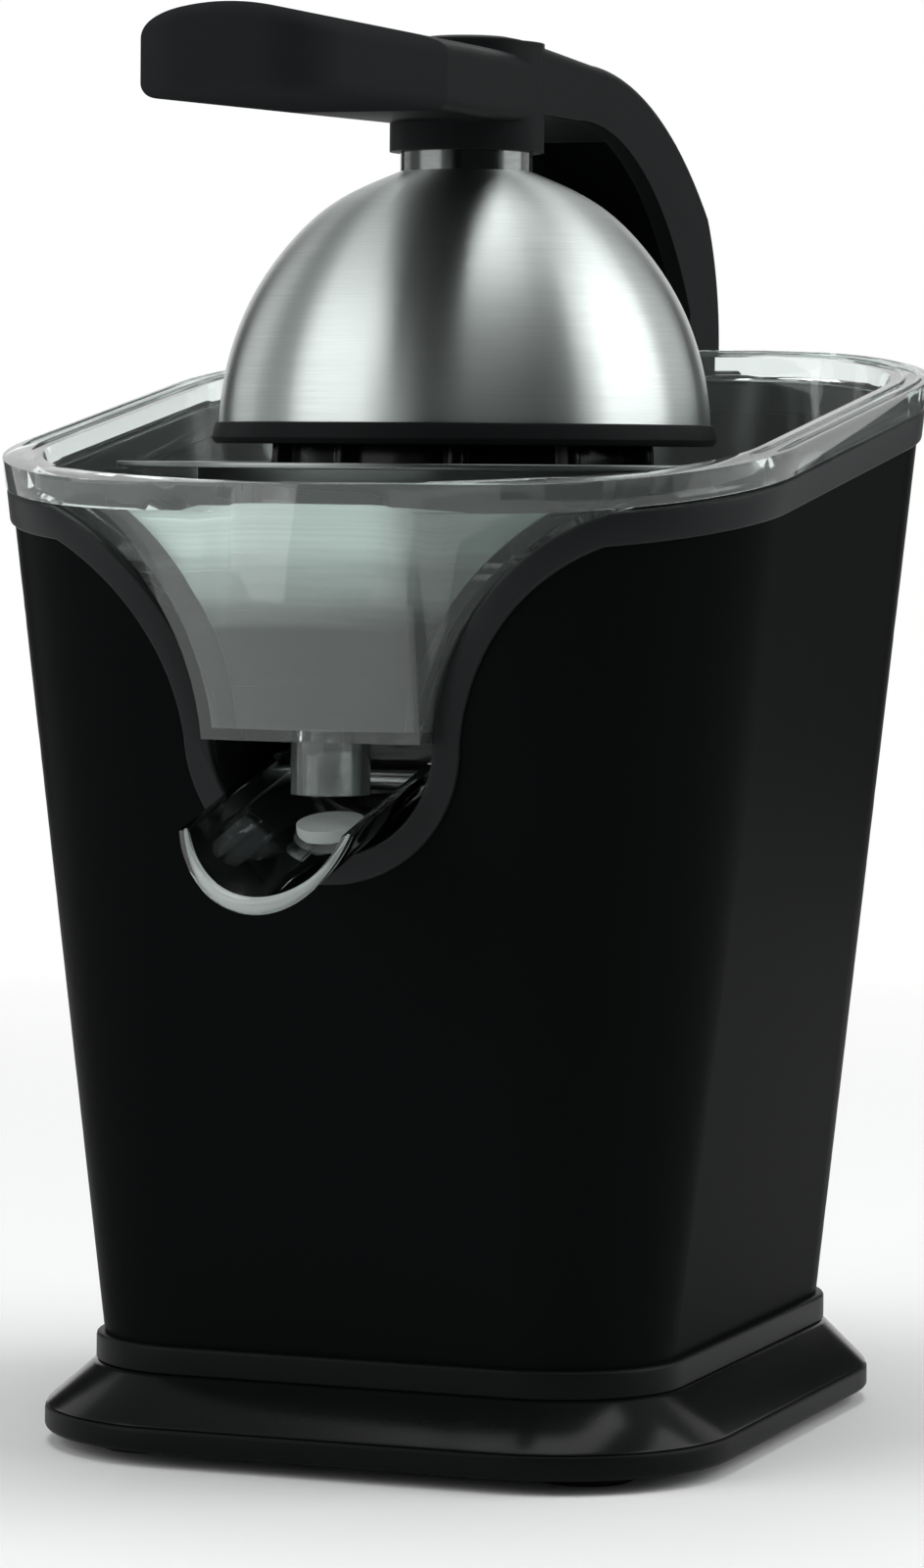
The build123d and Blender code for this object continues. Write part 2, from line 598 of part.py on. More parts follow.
bottom_edges = [edge for edge in bar.faces().sort_by(Axis.Z)[0].edges() if edge not in back_edges]
bar = fillet(bottom_edges, HANDLE_EDGE)
behind_joint = block((-SPAN, SPAN), (-HANDLE_JOINT, SPAN), (0, SPAN))
tongue_range = (TONGUE_MIDDLE - TONGUE_HALF_HEIGHT, TONGUE_MIDDLE + TONGUE_HALF_HEIGHT)
tongue_end = -HANDLE_JOINT - TONGUE_LENGTH
tongue = block((-TONGUE_HALF_WIDTH, TONGUE_HALF_WIDTH), (tongue_end, -HANDLE_JOINT), tongue_range)
grip_screw_places = [-HANDLE_JOINT - TONGUE_LENGTH * share for share in GRIP_SCREW_SHARES]
head_seat = HANDLE_ROOT_BOTTOM + UNDER_PLATE_THICKNESS + SCREW_HEAD_HEIGHT + FIT
screw_end = HANDLE_TOP - 2 * SCREW_HEAD_HEIGHT
grip_screws = [screw(head_seat, screw_end, 0, y, False) for y in grip_screw_places]
arm += (bar & behind_joint) + tongue
arm -= cylinder(BOLT_RADIUS, HUB_BOTTOM, BOLT_TOP)
parts["arm_frame"] = arm - grip_screws


def bar_underside(y):
    """Height of the bar's underside at a place along it"""
    return HANDLE_ROOT_BOTTOM + (HANDLE_TIP_BOTTOM - HANDLE_ROOT_BOTTOM) * -y / HANDLE_REACH


plate_ends = (-HANDLE_JOINT - UNDER_PLATE_MARGIN, -HANDLE_REACH)
plate_corners = [(y, bar_underside(y)) for y in plate_ends]
plate_corners += [(y, bar_underside(y) + UNDER_PLATE_THICKNESS) for y in reversed(plate_ends)]
plate_plan = Pos(0, 0, HANDLE_TIP_BOTTOM) * offset(plan, -UNDER_PLATE_MARGIN)
under_plate = extrude(plate_plan, HANDLE_TIP_THICKNESS)
under_plate &= across(side_face(Polyline(*plate_corners, close=True)), SPAN / 4)
grip = bar - behind_joint - tongue - grip_screws - under_plate
for y in grip_screw_places:
    grip -= cylinder(SCREW_HEAD_RADIUS + FIT, HANDLE_TIP_BOTTOM, head_seat, 0, y)
parts["handle_grip"] = grip
parts["handle_underside"] = under_plate
parts["grip_screws"] = grip_screws
parts["hub_cap"] = cylinder(CAP_RADIUS, HUB_TOP, HUB_TOP + CAP_THICKNESS)

bush_half = ARM_HALF_WIDTH / 2
bush = rod_along_x(HINGE_PIN_RADIUS + BUSH_WALL, bush_half / 2, HINGE_Y, HINGE_Z)
bush -= rod_along_x(HINGE_PIN_RADIUS + RUNNING_FIT, bush_half / 2, HINGE_Y, HINGE_Z)
bush_offset = ARM_HALF_WIDTH - bush_half / 2
parts["hinge_bushes"] = [Pos(side * bush_offset, 0, 0) * bush for side in (-1, 1)]

# Hinge tower: a spine up the back of the body with two cheeks for the pin
tower_edges = Polyline(
    (HINGE_Y + TOWER_EYE_RADIUS, HINGE_Z),
    (TOWER_BACK, TOWER_SLOT_FLOOR),
    (TOWER_BACK, TOWER_SHOULDER),
    (TOWER_FOOT, TOWER_BOTTOM),
    (0, TOWER_BOTTOM),
    (0, HINGE_Z),
    close=True,
)
tower = across(side_face(tower_edges), TOWER_HALF_WIDTH)
tower_back_edges = [
    edge
    for edge in tower.edges().filter_by_position(Axis.Y, TOWER_FOOT, TOWER_BACK)
    if abs(abs((edge @ 0.5).X) - TOWER_HALF_WIDTH) < RUNNING_FIT
]
tower = fillet(tower_back_edges, TOWER_EDGE)
tower += rod_along_x(TOWER_EYE_RADIUS, TOWER_HALF_WIDTH, HINGE_Y, HINGE_Z)
tower -= body_form(0)
tower -= body_form(FLANGE_PROUD + FIT) & rim_slab(trim_bottom - FIT, SPAN / 4)
slot_half = ARM_HALF_WIDTH + SIDE_PLAY
tower -= block((-slot_half, slot_half), (0, SPAN), (TOWER_SLOT_FLOOR, SPAN))
tower -= rod_along_x(HINGE_PIN_RADIUS, TOWER_HALF_WIDTH, HINGE_Y, HINGE_Z)
tower_screw_places = (TOWER_BOTTOM + SCREW_DEPTH, DECK_BOTTOM - SCREW_DEPTH)


def tower_screw(height):
    """Screw from inside the body wall into the tower, its head on the wall's inner face"""
    wall_y = size_at(height)[2] - BODY_WALL
    lean = degrees(atan((RIM_OUTLINE[2] - COLLAR_OUTLINE[2]) / (RIM_REFERENCE - BODY_BOTTOM)))
    upright = screw(0, BODY_WALL + SCREW_DEPTH, 0, 0, False)
    return Pos(0, wall_y, height) * Rot(-90 - lean, 0, 0) * upright


tower_screws = [tower_screw(height) for height in tower_screw_places]
parts["tower_screws"] = tower_screws
parts["hinge_tower"] = tower - tower_screws
parts["body_shell"] = parts["body_shell"] - tower_screws
parts["hinge_pin"] = rod_along_x(HINGE_PIN_RADIUS, TOWER_HALF_WIDTH, HINGE_Y, HINGE_Z)

# Spout: a tilted scoop on a cross pin, with the stopper that closes the nozzle
scoop_lift = SCOOP_FLOOR_AT_HINGE + SCOOP_RADIUS / cos(radians(SCOOP_TILT))
scoop_place = Pos(0, SCOOP_HINGE_Y, scoop_lift) * Rot(SCOOP_TILT, 0, 0)
scoop_back = SCOOP_PIN_RADIUS * 2
scoop_rod = Pos(0, (scoop_back - SCOOP_LENGTH) / 2, 0) * Rot(90, 0, 0)
scoop_outer = scoop_rod * Cylinder(SCOOP_RADIUS, scoop_back + SCOOP_LENGTH)
scoop_inside = SCOOP_RADIUS - SCOOP_WALL
scoop_space = scoop_rod * Pos(0, 0, SCOOP_WALL) * Cylinder(scoop_inside, scoop_back + SCOOP_LENGTH)
edge_height = SCOOP_DEPTH - SCOOP_RADIUS
scoop = scoop_outer - scoop_space - block((-SPAN, SPAN), (-SPAN, SPAN), (edge_height, SPAN))
tip_edges = Polyline(
    (-SCOOP_LENGTH, -SCOOP_RADIUS),
    (-SCOOP_LENGTH + SCOOP_TIP_CUT, edge_height),
    (-SCOOP_LENGTH + SCOOP_TIP_CUT, SCOOP_RADIUS),
    (-2 * SCOOP_LENGTH, SCOOP_RADIUS),
    (-2 * SCOOP_LENGTH, -SCOOP_RADIUS),
    close=True,
)
scoop -= across(side_face(tip_edges), SPAN / 4)
scoop = scoop_place * scoop
pin_hole = rod_along_x(SCOOP_PIN_RADIUS + RUNNING_FIT, SPAN / 4, SCOOP_HINGE_Y, SCOOP_HINGE_Z)
pin_half = MOUTH_RADIUS + MOUTH_FRAME / 4
parts["spout_pin"] = rod_along_x(SCOOP_PIN_RADIUS, pin_half, SCOOP_HINGE_Y, SCOOP_HINGE_Z)

plug_place = Pos(0, NOZZLE_Y, PLUG_TOP) * Rot(SCOOP_TILT, 0, 0)
plug_disc = plug_place * Pos(0, 0, -PLUG_THICKNESS / 2) * Cylinder(PLUG_RADIUS, PLUG_THICKNESS)
plug_stem = plug_place * Pos(0, 0, -SCOOP_RADIUS / 2) * Cylinder(PLUG_STEM_RADIUS, SCOOP_RADIUS)
plug_stem &= scoop_place * scoop_space
parts["spout_plug"] = (plug_disc & scoop_place * scoop_space) + plug_stem
parts["spout_scoop"] = scoop - pin_hole

# Chassis: posts, carrier plate, gear cover
posts = []
for x, y in CHASSIS_POSTS:
    bore = cylinder(SCREW_RADIUS, PLATE_TOP, PLATE_TOP + SCREW_DEPTH, x, y)
    top_bore = cylinder(SCREW_RADIUS, CARRIER_BOTTOM - SCREW_DEPTH, CARRIER_BOTTOM, x, y)
    posts.append(cylinder(CHASSIS_POST_RADIUS, PLATE_TOP, CARRIER_BOTTOM, x, y) - bore - top_bore)
parts["chassis_posts"] = posts
parts["base_screws"] = [screw(screw_well, PLATE_TOP + SCREW_DEPTH, x, y, False) for x, y in CHASSIS_POSTS]

carrier_x = (-CARRIER_HALF_WIDTH, CARRIER_HALF_WIDTH)
carrier = block(carrier_x, (CARRIER_FRONT, CARRIER_BACK), (CARRIER_BOTTOM, CARRIER_TOP))
carrier = fillet(carrier.edges().filter_by(Axis.Z), CHASSIS_POST_RADIUS)
carrier -= cylinder(shaft_bore, CARRIER_BOTTOM, CARRIER_TOP)
carrier -= cylinder(2 * MOTOR_SHAFT_RADIUS, CARRIER_BOTTOM, CARRIER_TOP, 0, MOTOR_Y)
for x, y in CHASSIS_POSTS:
    carrier -= cylinder(SCREW_RADIUS, CARRIER_BOTTOM, CARRIER_TOP, x, y)
motor_screw_places = [(side * MOTOR_SCREW_RING, MOTOR_Y) for side in (-1, 1)]
for x, y in motor_screw_places:
    carrier -= cylinder(SCREW_RADIUS, CARRIER_BOTTOM, CARRIER_TOP, x, y)
cover_x = COVER_HALF_WIDTH + COVER_LUG / 2
cover_middle = (COVER_FRONT + COVER_BACK) / 2
cover_screw_places = [(-cover_x, cover_middle), (cover_x, cover_middle)]
cover_screw_bottom = CARRIER_TOP - CARRIER_THICKNESS / 2
cover_lug_top = CARRIER_TOP + COVER_WALL
for x, y in cover_screw_places:
    carrier -= cylinder(SCREW_RADIUS, cover_screw_bottom, CARRIER_TOP, x, y)
parts["gear_carrier"] = carrier

chassis_screws = [screw(CARRIER_BOTTOM - SCREW_DEPTH, CARRIER_TOP, x, y) for x, y in CHASSIS_POSTS]
parts["carrier_screws"] = chassis_screws

cover = block((-COVER_HALF_WIDTH, COVER_HALF_WIDTH), (COVER_FRONT, COVER_BACK), (CARRIER_TOP, COVER_TOP))
cover = fillet(cover.edges().filter_by(Axis.Z), 2 * COVER_WALL)
cover_room_x = COVER_HALF_WIDTH - COVER_WALL
cover_room_y = (COVER_FRONT + COVER_WALL, COVER_BACK - COVER_WALL)
cover_room = block((-cover_room_x, cover_room_x), cover_room_y, (CARRIER_TOP, COVER_TOP - COVER_WALL))
cover = cover + [cylinder(COVER_LUG, CARRIER_TOP, cover_lug_top, x, y) for x, y in cover_screw_places]
cover -= cover_room
cover -= cylinder(SHAFT_COLLAR_RADIUS + FIT, COVER_TOP - COVER_WALL, COVER_TOP)
for x, y in cover_screw_places:
    cover -= cylinder(SCREW_RADIUS, CARRIER_TOP, cover_lug_top, x, y)
    cover -= cylinder(SCREW_HEAD_RADIUS + FIT, cover_lug_top, COVER_TOP - 2 * COVER_WALL, x, y)
parts["gear_cover"] = cover
parts["cover_screws"] = [screw(cover_screw_bottom, cover_lug_top, x, y) for x, y in cover_screw_places]

# Motor: can, magnets, and the rotor with its pinion
can = cylinder(MOTOR_RADIUS, MOTOR_BOTTOM, CARRIER_BOTTOM, 0, MOTOR_Y)
can_inside = MOTOR_RADIUS - MOTOR_WALL
can -= cylinder(can_inside, MOTOR_BOTTOM + MOTOR_WALL, CARRIER_BOTTOM - MOTOR_WALL, 0, MOTOR_Y)
can += cylinder(2 * MOTOR_SHAFT_RADIUS, MOTOR_BOTTOM, MOTOR_BOTTOM + 4 * MOTOR_WALL, 0, MOTOR_Y)
motor_bore = MOTOR_SHAFT_RADIUS + RUNNING_FIT
can -= cylinder(motor_bore, MOTOR_BOTTOM + MOTOR_WALL, CARRIER_BOTTOM, 0, MOTOR_Y)
for x, y in motor_screw_places:
    can -= cylinder(SCREW_RADIUS, CARRIER_BOTTOM - MOTOR_WALL, CARRIER_BOTTOM, x, y)
parts["motor_can"] = can
parts["motor_screws"] = [screw(CARRIER_BOTTOM - MOTOR_WALL, CARRIER_TOP, x, y) for x, y in motor_screw_places]

rotor_bottom = (MOTOR_BOTTOM + CARRIER_BOTTOM - ROTOR_HEIGHT) / 2
rotor_top = rotor_bottom + ROTOR_HEIGHT
magnet_inside = can_inside - MAGNET_THICKNESS
magnet_ring = tube(can_inside, magnet_inside, rotor_bottom, rotor_top, 0, MOTOR_Y)
magnet_gap = block((-MAGNET_THICKNESS, MAGNET_THICKNESS), (-SPAN, SPAN), (0, SPAN))
magnet_ring -= magnet_gap
parts["motor_magnets"] = list(magnet_ring.solids())
rotor_core = cylinder(magnet_inside - ROTOR_GAP, rotor_bottom, rotor_top, 0, MOTOR_Y)
parts["rotor_core"] = rotor_core - cylinder(MOTOR_SHAFT_RADIUS, rotor_bottom, rotor_top, 0, MOTOR_Y)
gear_top = GEAR_BOTTOM + GEAR_THICKNESS
parts["motor_shaft"] = cylinder(MOTOR_SHAFT_RADIUS, MOTOR_BOTTOM + MOTOR_WALL, gear_top, 0, MOTOR_Y)
pinion_phase = 90 + 180 / PINION_TEETH
pinion = Rot(0, 0, pinion_phase) * spur_gear(PINION_TEETH, GEAR_BOTTOM, gear_top)
parts["motor_pinion"] = Pos(0, MOTOR_Y) * (pinion - cylinder(MOTOR_SHAFT_RADIUS, GEAR_BOTTOM, gear_top))

# Output gear, drive shaft and its return spring
gear = Rot(0, 0, 90) * spur_gear(GEAR_TEETH, GEAR_BOTTOM, gear_top)
gear += cylinder(GEAR_HUB_RADIUS, CARRIER_TOP, GEAR_HUB_TOP)
parts["output_gear"] = gear - cylinder(shaft_bore, CARRIER_TOP, GEAR_HUB_TOP)
shaft = cylinder(SHAFT_RADIUS, SHAFT_BOTTOM, SHAFT_TOP)
collar_top = SHAFT_COLLAR_BOTTOM + SHAFT_COLLAR_HEIGHT
parts["drive_shaft"] = shaft + cylinder(SHAFT_COLLAR_RADIUS, SHAFT_COLLAR_BOTTOM, collar_top)

spring_radius = SHAFT_RADIUS + SPRING_GAP + SPRING_WIRE / 2
spring_height = SHAFT_COLLAR_BOTTOM - GEAR_HUB_TOP - SPRING_WIRE - 2 * RUNNING_FIT
spring_path = Helix(spring_height / SPRING_TURNS, spring_height, spring_radius)
spring_profile = Plane(spring_path @ 0, z_dir=spring_path % 0) * Circle(SPRING_WIRE / 2)
spring_lift = GEAR_HUB_TOP + SPRING_WIRE / 2 + RUNNING_FIT
parts["return_spring"] = Pos(0, 0, spring_lift) * sweep(spring_profile, spring_path)

# Start switch: a body hung under the carrier and the plunger that the shaft pushes
switch_x = (-SWITCH_HALF_WIDTH, SWITCH_HALF_WIDTH)
switch_y = (SWITCH_FRONT, SWITCH_BACK)
switch = block(switch_x, switch_y, (SWITCH_BOTTOM, SWITCH_TOP))
for side_x in (-SWITCH_HALF_WIDTH, SWITCH_HALF_WIDTH - SWITCH_TAB):
    switch += block((side_x, side_x + SWITCH_TAB), switch_y, (SWITCH_BOTTOM, CARRIER_BOTTOM))
switch -= cylinder(PLUNGER_RADIUS + RUNNING_FIT, PLUNGER_BOTTOM - PLUNGER_ROOM, SWITCH_TOP)
parts["switch_body"] = switch
parts["switch_plunger"] = cylinder(PLUNGER_RADIUS, PLUNGER_BOTTOM, SHAFT_BOTTOM)

os.makedirs("parts", exist_ok=True)
for name, piece in parts.items():
    solids = piece if isinstance(piece, list) else [piece]
    whole = Compound(children=solids) if len(solids) > 1 else solids[0]
    export_step(whole, os.path.join("parts", name + ".step"))
    print(name, len(whole.solids()), round(whole.volume, 1))
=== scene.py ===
import json
import math

import bmesh
import bpy
from mathutils import Euler, Matrix, Vector


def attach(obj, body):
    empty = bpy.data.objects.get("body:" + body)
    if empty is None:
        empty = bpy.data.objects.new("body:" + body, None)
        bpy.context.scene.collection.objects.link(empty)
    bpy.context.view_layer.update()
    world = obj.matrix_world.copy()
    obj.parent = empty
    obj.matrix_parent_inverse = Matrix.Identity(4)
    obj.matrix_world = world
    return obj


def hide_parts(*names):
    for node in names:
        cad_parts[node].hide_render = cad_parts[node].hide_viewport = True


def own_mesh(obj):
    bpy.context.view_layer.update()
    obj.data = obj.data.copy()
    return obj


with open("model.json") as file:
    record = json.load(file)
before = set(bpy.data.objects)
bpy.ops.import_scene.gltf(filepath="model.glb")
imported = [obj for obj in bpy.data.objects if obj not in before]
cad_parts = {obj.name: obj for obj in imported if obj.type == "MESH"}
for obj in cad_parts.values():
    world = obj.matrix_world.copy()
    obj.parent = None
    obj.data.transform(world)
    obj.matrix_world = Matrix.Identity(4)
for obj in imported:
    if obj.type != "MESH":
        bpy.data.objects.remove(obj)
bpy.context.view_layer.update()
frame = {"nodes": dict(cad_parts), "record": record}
nodes = frame["nodes"]
MM = 0.001
FULL_TURN = 2 * math.pi
SOCKETS = {"number": "NodeSocketFloat", "colour": "NodeSocketColor", "vector": "NodeSocketVector"}


# Shader building

def fill(tree, node, values):
    """Fill a node's sockets with plain values or with other nodes' outputs"""
    for socket, value in values.items():
        if isinstance(value, bpy.types.NodeSocket):
            tree.links.new(value, node.inputs[socket])
        else:
            node.inputs[socket].default_value = value


def put(tree, kind, values=None, **settings):
    """Add a node, apply its settings, then fill its sockets"""
    node = tree.nodes.new(kind)
    for key, value in settings.items():
        setattr(node, key, value)
    fill(tree, node, values or {})
    return node


def object_place(tree):
    return put(tree, "ShaderNodeTexCoord").outputs["Object"]


def stretched(tree, place, factors):
    values = {0: place, 1: factors}
    return put(tree, "ShaderNodeVectorMath", values, operation="MULTIPLY").outputs[0]


def noise(tree, place, scale, detail, roughness=0.5):
    values = {"Vector": place, "Scale": scale, "Detail": detail, "Roughness": roughness}
    return put(tree, "ShaderNodeTexNoise", values).outputs[0]


def new_group(name, inputs, outputs):
    tree = bpy.data.node_groups.new(name, "ShaderNodeTree")
    for label, (kind, value) in inputs.items():
        socket = tree.interface.new_socket(label, in_out="INPUT", socket_type=SOCKETS[kind])
        socket.default_value = value
    for label, kind in outputs.items():
        tree.interface.new_socket(label, in_out="OUTPUT", socket_type=SOCKETS[kind])
    return tree, tree.nodes.new("NodeGroupInput").outputs, tree.nodes.new("NodeGroupOutput")


def maths(tree, operation, first, second=0.0):
    return put(tree, "ShaderNodeMath", {0: first, 1: second}, operation=operation).outputs[0]


def spread(tree, value, low, high):
    """Turn a 0 to 1 value into one between low and high"""
    values = {"Value": value, "To Min": low, "To Max": high}
    return put(tree, "ShaderNodeMapRange", values).outputs["Result"]


def ramp(tree, value, low, high):
    """Turn a value between low and high into one between 0 and 1"""
    values = {"Value": value, "From Min": low, "From Max": high}
    return put(tree, "ShaderNodeMapRange", values).outputs["Result"]


def blend_colours(tree, share, first, second):
    factor, colour_a, colour_b, result = 0, 6, 7, 2
    values = {factor: share, colour_a: first, colour_b: second}
    return put(tree, "ShaderNodeMix", values, data_type="RGBA").outputs[result]


CLOUD_SHARE, GRAIN_SHARE = 0.7, 0.3


def make_moulded_skin():
    """Moulded plastic or rubber: fine grain, slow unevenness of tone and gloss"""
    tree, given, ends = new_group(
        "moulded_skin",
        {
            "Colour": ("colour", (0.02, 0.02, 0.02, 1)),
            "Lighter Colour": ("colour", (0.03, 0.03, 0.03, 1)),
            "Gloss Low": ("number", 0.35),
            "Gloss High": ("number", 0.45),
            "Grain Scale": ("number", 2500.0),
            "Cloud Scale": ("number", 14.0),
        },
        {"Colour": "colour", "Roughness": "number", "Height": "number"},
    )
    place = object_place(tree)
    cloud = noise(tree, place, given["Cloud Scale"], detail=4.0)
    grain = noise(tree, place, given["Grain Scale"], detail=2.0)
    slow = maths(tree, "MULTIPLY", cloud, CLOUD_SHARE)
    tone = maths(tree, "ADD", slow, maths(tree, "MULTIPLY", grain, GRAIN_SHARE))
    colour = blend_colours(tree, tone, given["Colour"], given["Lighter Colour"])
    gloss = spread(tree, tone, given["Gloss Low"], given["Gloss High"])
    fill(tree, ends, {"Colour": colour, "Roughness": gloss, "Height": grain})
    return tree


def make_edge_wear_and_painted_highlight():
    """Mask that is 1 on edges and corners, 0 on flat faces: partly rubbed wear where hands and
    cloths rub, partly a painted highlight along the edges
    """
    tree, given, ends = new_group(
        "edge_wear_and_painted_highlight",
        {"Width": ("number", 0.001), "Strength": ("number", 1.0)},
        {"Mask": "number"},
    )
    rounded = put(tree, "ShaderNodeBevel", {"Radius": given["Width"]}, samples=4).outputs["Normal"]
    flat = put(tree, "ShaderNodeNewGeometry").outputs["Normal"]
    normals = {0: rounded, 1: flat}
    same = put(tree, "ShaderNodeVectorMath", normals, operation="DOT_PRODUCT").outputs["Value"]
    edge = maths(tree, "MULTIPLY", maths(tree, "SUBTRACT", 1.0, same), given["Strength"])
    mask = put(tree, "ShaderNodeClamp", {"Value": edge}).outputs[0]
    fill(tree, ends, {"Mask": mask})
    return tree


def make_round_the_axis():
    """Pattern place for work turned on the drive axis: slow round it, quick along the profile"""
    tree, given, ends = new_group(
        "round_the_axis",
        {"Base Height": ("number", 0.22), "Lines": ("number", 400.0), "Sweep": ("number", 2.0)},
        {"Vector": "vector"},
    )
    part = put(tree, "ShaderNodeSeparateXYZ", {0: object_place(tree)}).outputs
    squares = [maths(tree, "POWER", part[axis], 2.0) for axis in (0, 1)]
    reach = maths(tree, "SQRT", maths(tree, "ADD", *squares))
    along = maths(tree, "ARCTAN2", maths(tree, "SUBTRACT", part[2], given["Base Height"]), reach)
    east, north = [
        maths(tree, "MULTIPLY", maths(tree, "DIVIDE", part[axis], reach), given["Sweep"])
        for axis in (0, 1)]
    lines = maths(tree, "MULTIPLY", along, given["Lines"])
    vector = put(tree, "ShaderNodeCombineXYZ", {0: east, 1: north, 2: lines}).outputs[0]
    fill(tree, ends, {"Vector": vector})
    return tree


def make_brushed_lines():
    """Brushed metal: fine broken lines in tone, gloss and height"""
    tree, given, ends = new_group(
        "brushed_lines",
        {
            "Vector": ("vector", (0, 0, 0)),
            "Colour": ("colour", (0.6, 0.6, 0.6, 1)),
            "Line Colour": ("colour", (0.4, 0.4, 0.4, 1)),
            "Gloss Low": ("number", 0.2),
            "Gloss High": ("number", 0.35),
        },
        {"Colour": "colour", "Roughness": "number", "Height": "number"},
    )
    fine = noise(tree, given["Vector"], 1.0, detail=6.0, roughness=0.7)
    tone = ramp(tree, fine, low=0.3, high=0.7)
    colour = blend_colours(tree, tone, given["Line Colour"], given["Colour"])
    gloss = spread(tree, tone, given["Gloss High"], given["Gloss Low"])
    fill(tree, ends, {"Colour": colour, "Roughness": gloss, "Height": fine})
    return tree


MOULDED_SKIN = make_moulded_skin()
WORN_AND_LIT_EDGES = make_edge_wear_and_painted_highlight()
ROUND_THE_AXIS = make_round_the_axis()
BRUSHED_LINES = make_brushed_lines()


def new_material(name):
    material = bpy.data.materials.new(name)
    material.use_nodes = True
    return material, material.node_tree, material.node_tree.nodes["Principled BSDF"]


def place_group(tree, group, values):
    return put(tree, "ShaderNodeGroup", values, node_tree=group).outputs


def grey(level, tint=(1.0, 1.0, 1.0)):
    return tuple(level * share for share in tint) + (1.0,)


# Finishes; widths and depths in metres

GRAIN_DEPTH = 0.00005
EDGE_WIDTH = 0.0012
EDGE_WEAR_AND_SHEEN = 1.6
LINE_DEPTH = 0.00003
LINE_BUMP = 0.05
STRAIGHT_LINES = (8.0, 8.0, 900.0)
QUARTER_TURN = 0.25
CLEAR_IOR = 1.46
CLEAR_GRAIN, CLEAR_CLOUD = 40.0, 12.0


def raise_bump(tree, shader, height, strength, distance):
    values = {"Height": height, "Strength": strength, "Distance": distance}
    fill(tree, shader, {"Normal": put(tree, "ShaderNodeBump", values).outputs[0]})


def place_skin(tree, dark, light, gloss, grain, cloud):
    return place_group(tree, MOULDED_SKIN, {
        "Colour": dark, "Lighter Colour": light, "Gloss Low": gloss[0], "Gloss High": gloss[1],
        "Grain Scale": grain, "Cloud Scale": cloud})


def moulded(name, dark, light, gloss, grain, specular, edge=None, bump=0.12, cloud=14.0):
    """Moulded plastic or rubber of one tone; edge is the paler tone of its edges, partly rubbed
    wear and partly a painted edge highlight
    """
    material, tree, shader = new_material(name)
    skin = place_skin(tree, dark, light, gloss, grain, cloud)
    colour = skin["Colour"]
    if edge:
        # Paler edges: partly rubbed wear, partly painted edge highlight
        worn_and_lit = place_group(tree, WORN_AND_LIT_EDGES, {"Width": EDGE_WIDTH, "Strength": EDGE_WEAR_AND_SHEEN})
        colour = blend_colours(tree, worn_and_lit["Mask"], colour, edge)
    fill(tree, shader, {
        "Base Color": colour, "Roughness": skin["Roughness"], "Specular IOR Level": specular})
    raise_bump(tree, shader, skin["Height"], bump, GRAIN_DEPTH)
    return material


def lay_steel(tree, shader, lines, colour, line_colour, gloss):
    """Brushed metal whose lines follow the given pattern place"""
    steel = place_group(tree, BRUSHED_LINES, {
        "Vector": lines, "Colour": colour, "Line Colour": line_colour,
        "Gloss Low": gloss[0], "Gloss High": gloss[1]})
    fill(tree, shader, {
        "Base Color": steel["Colour"], "Roughness": steel["Roughness"], "Metallic": 1.0})
    raise_bump(tree, shader, steel["Height"], LINE_BUMP, LINE_DEPTH)


def brushed(name, colour, line_colour, gloss, turned_at=None, pull=0.0):
    """Brushed or polished metal: turned_at is the base height of work turned on the drive axis,
    pull is how far its shine is drawn out across the lines"""
    material, tree, shader = new_material(name)
    if turned_at is None:
        lines = stretched(tree, object_place(tree), STRAIGHT_LINES)
    else:
        lines = place_group(tree, ROUND_THE_AXIS, {"Base Height": turned_at})["Vector"]
    lay_steel(tree, shader, lines, colour, line_colour, gloss)
    if pull:
        tangent = put(tree, "ShaderNodeTangent", direction_type="RADIAL", axis="Z").outputs[0]
        fill(tree, shader, {
            "Anisotropic": pull, "Anisotropic Rotation": QUARTER_TURN, "Tangent": tangent})
    return material


def clear(name, colour, cloudy, gloss, share=1.0):
    """Clear moulded plastic, faintly clouded; share is the part of the light that goes through"""
    material, tree, shader = new_material(name)
    skin = place_skin(tree, cloudy, colour, gloss, CLEAR_GRAIN, CLEAR_CLOUD)
    fill(tree, shader, {
        "Base Color": skin["Colour"], "Roughness": skin["Roughness"],
        "Transmission Weight": share, "IOR": CLEAR_IOR})
    return material


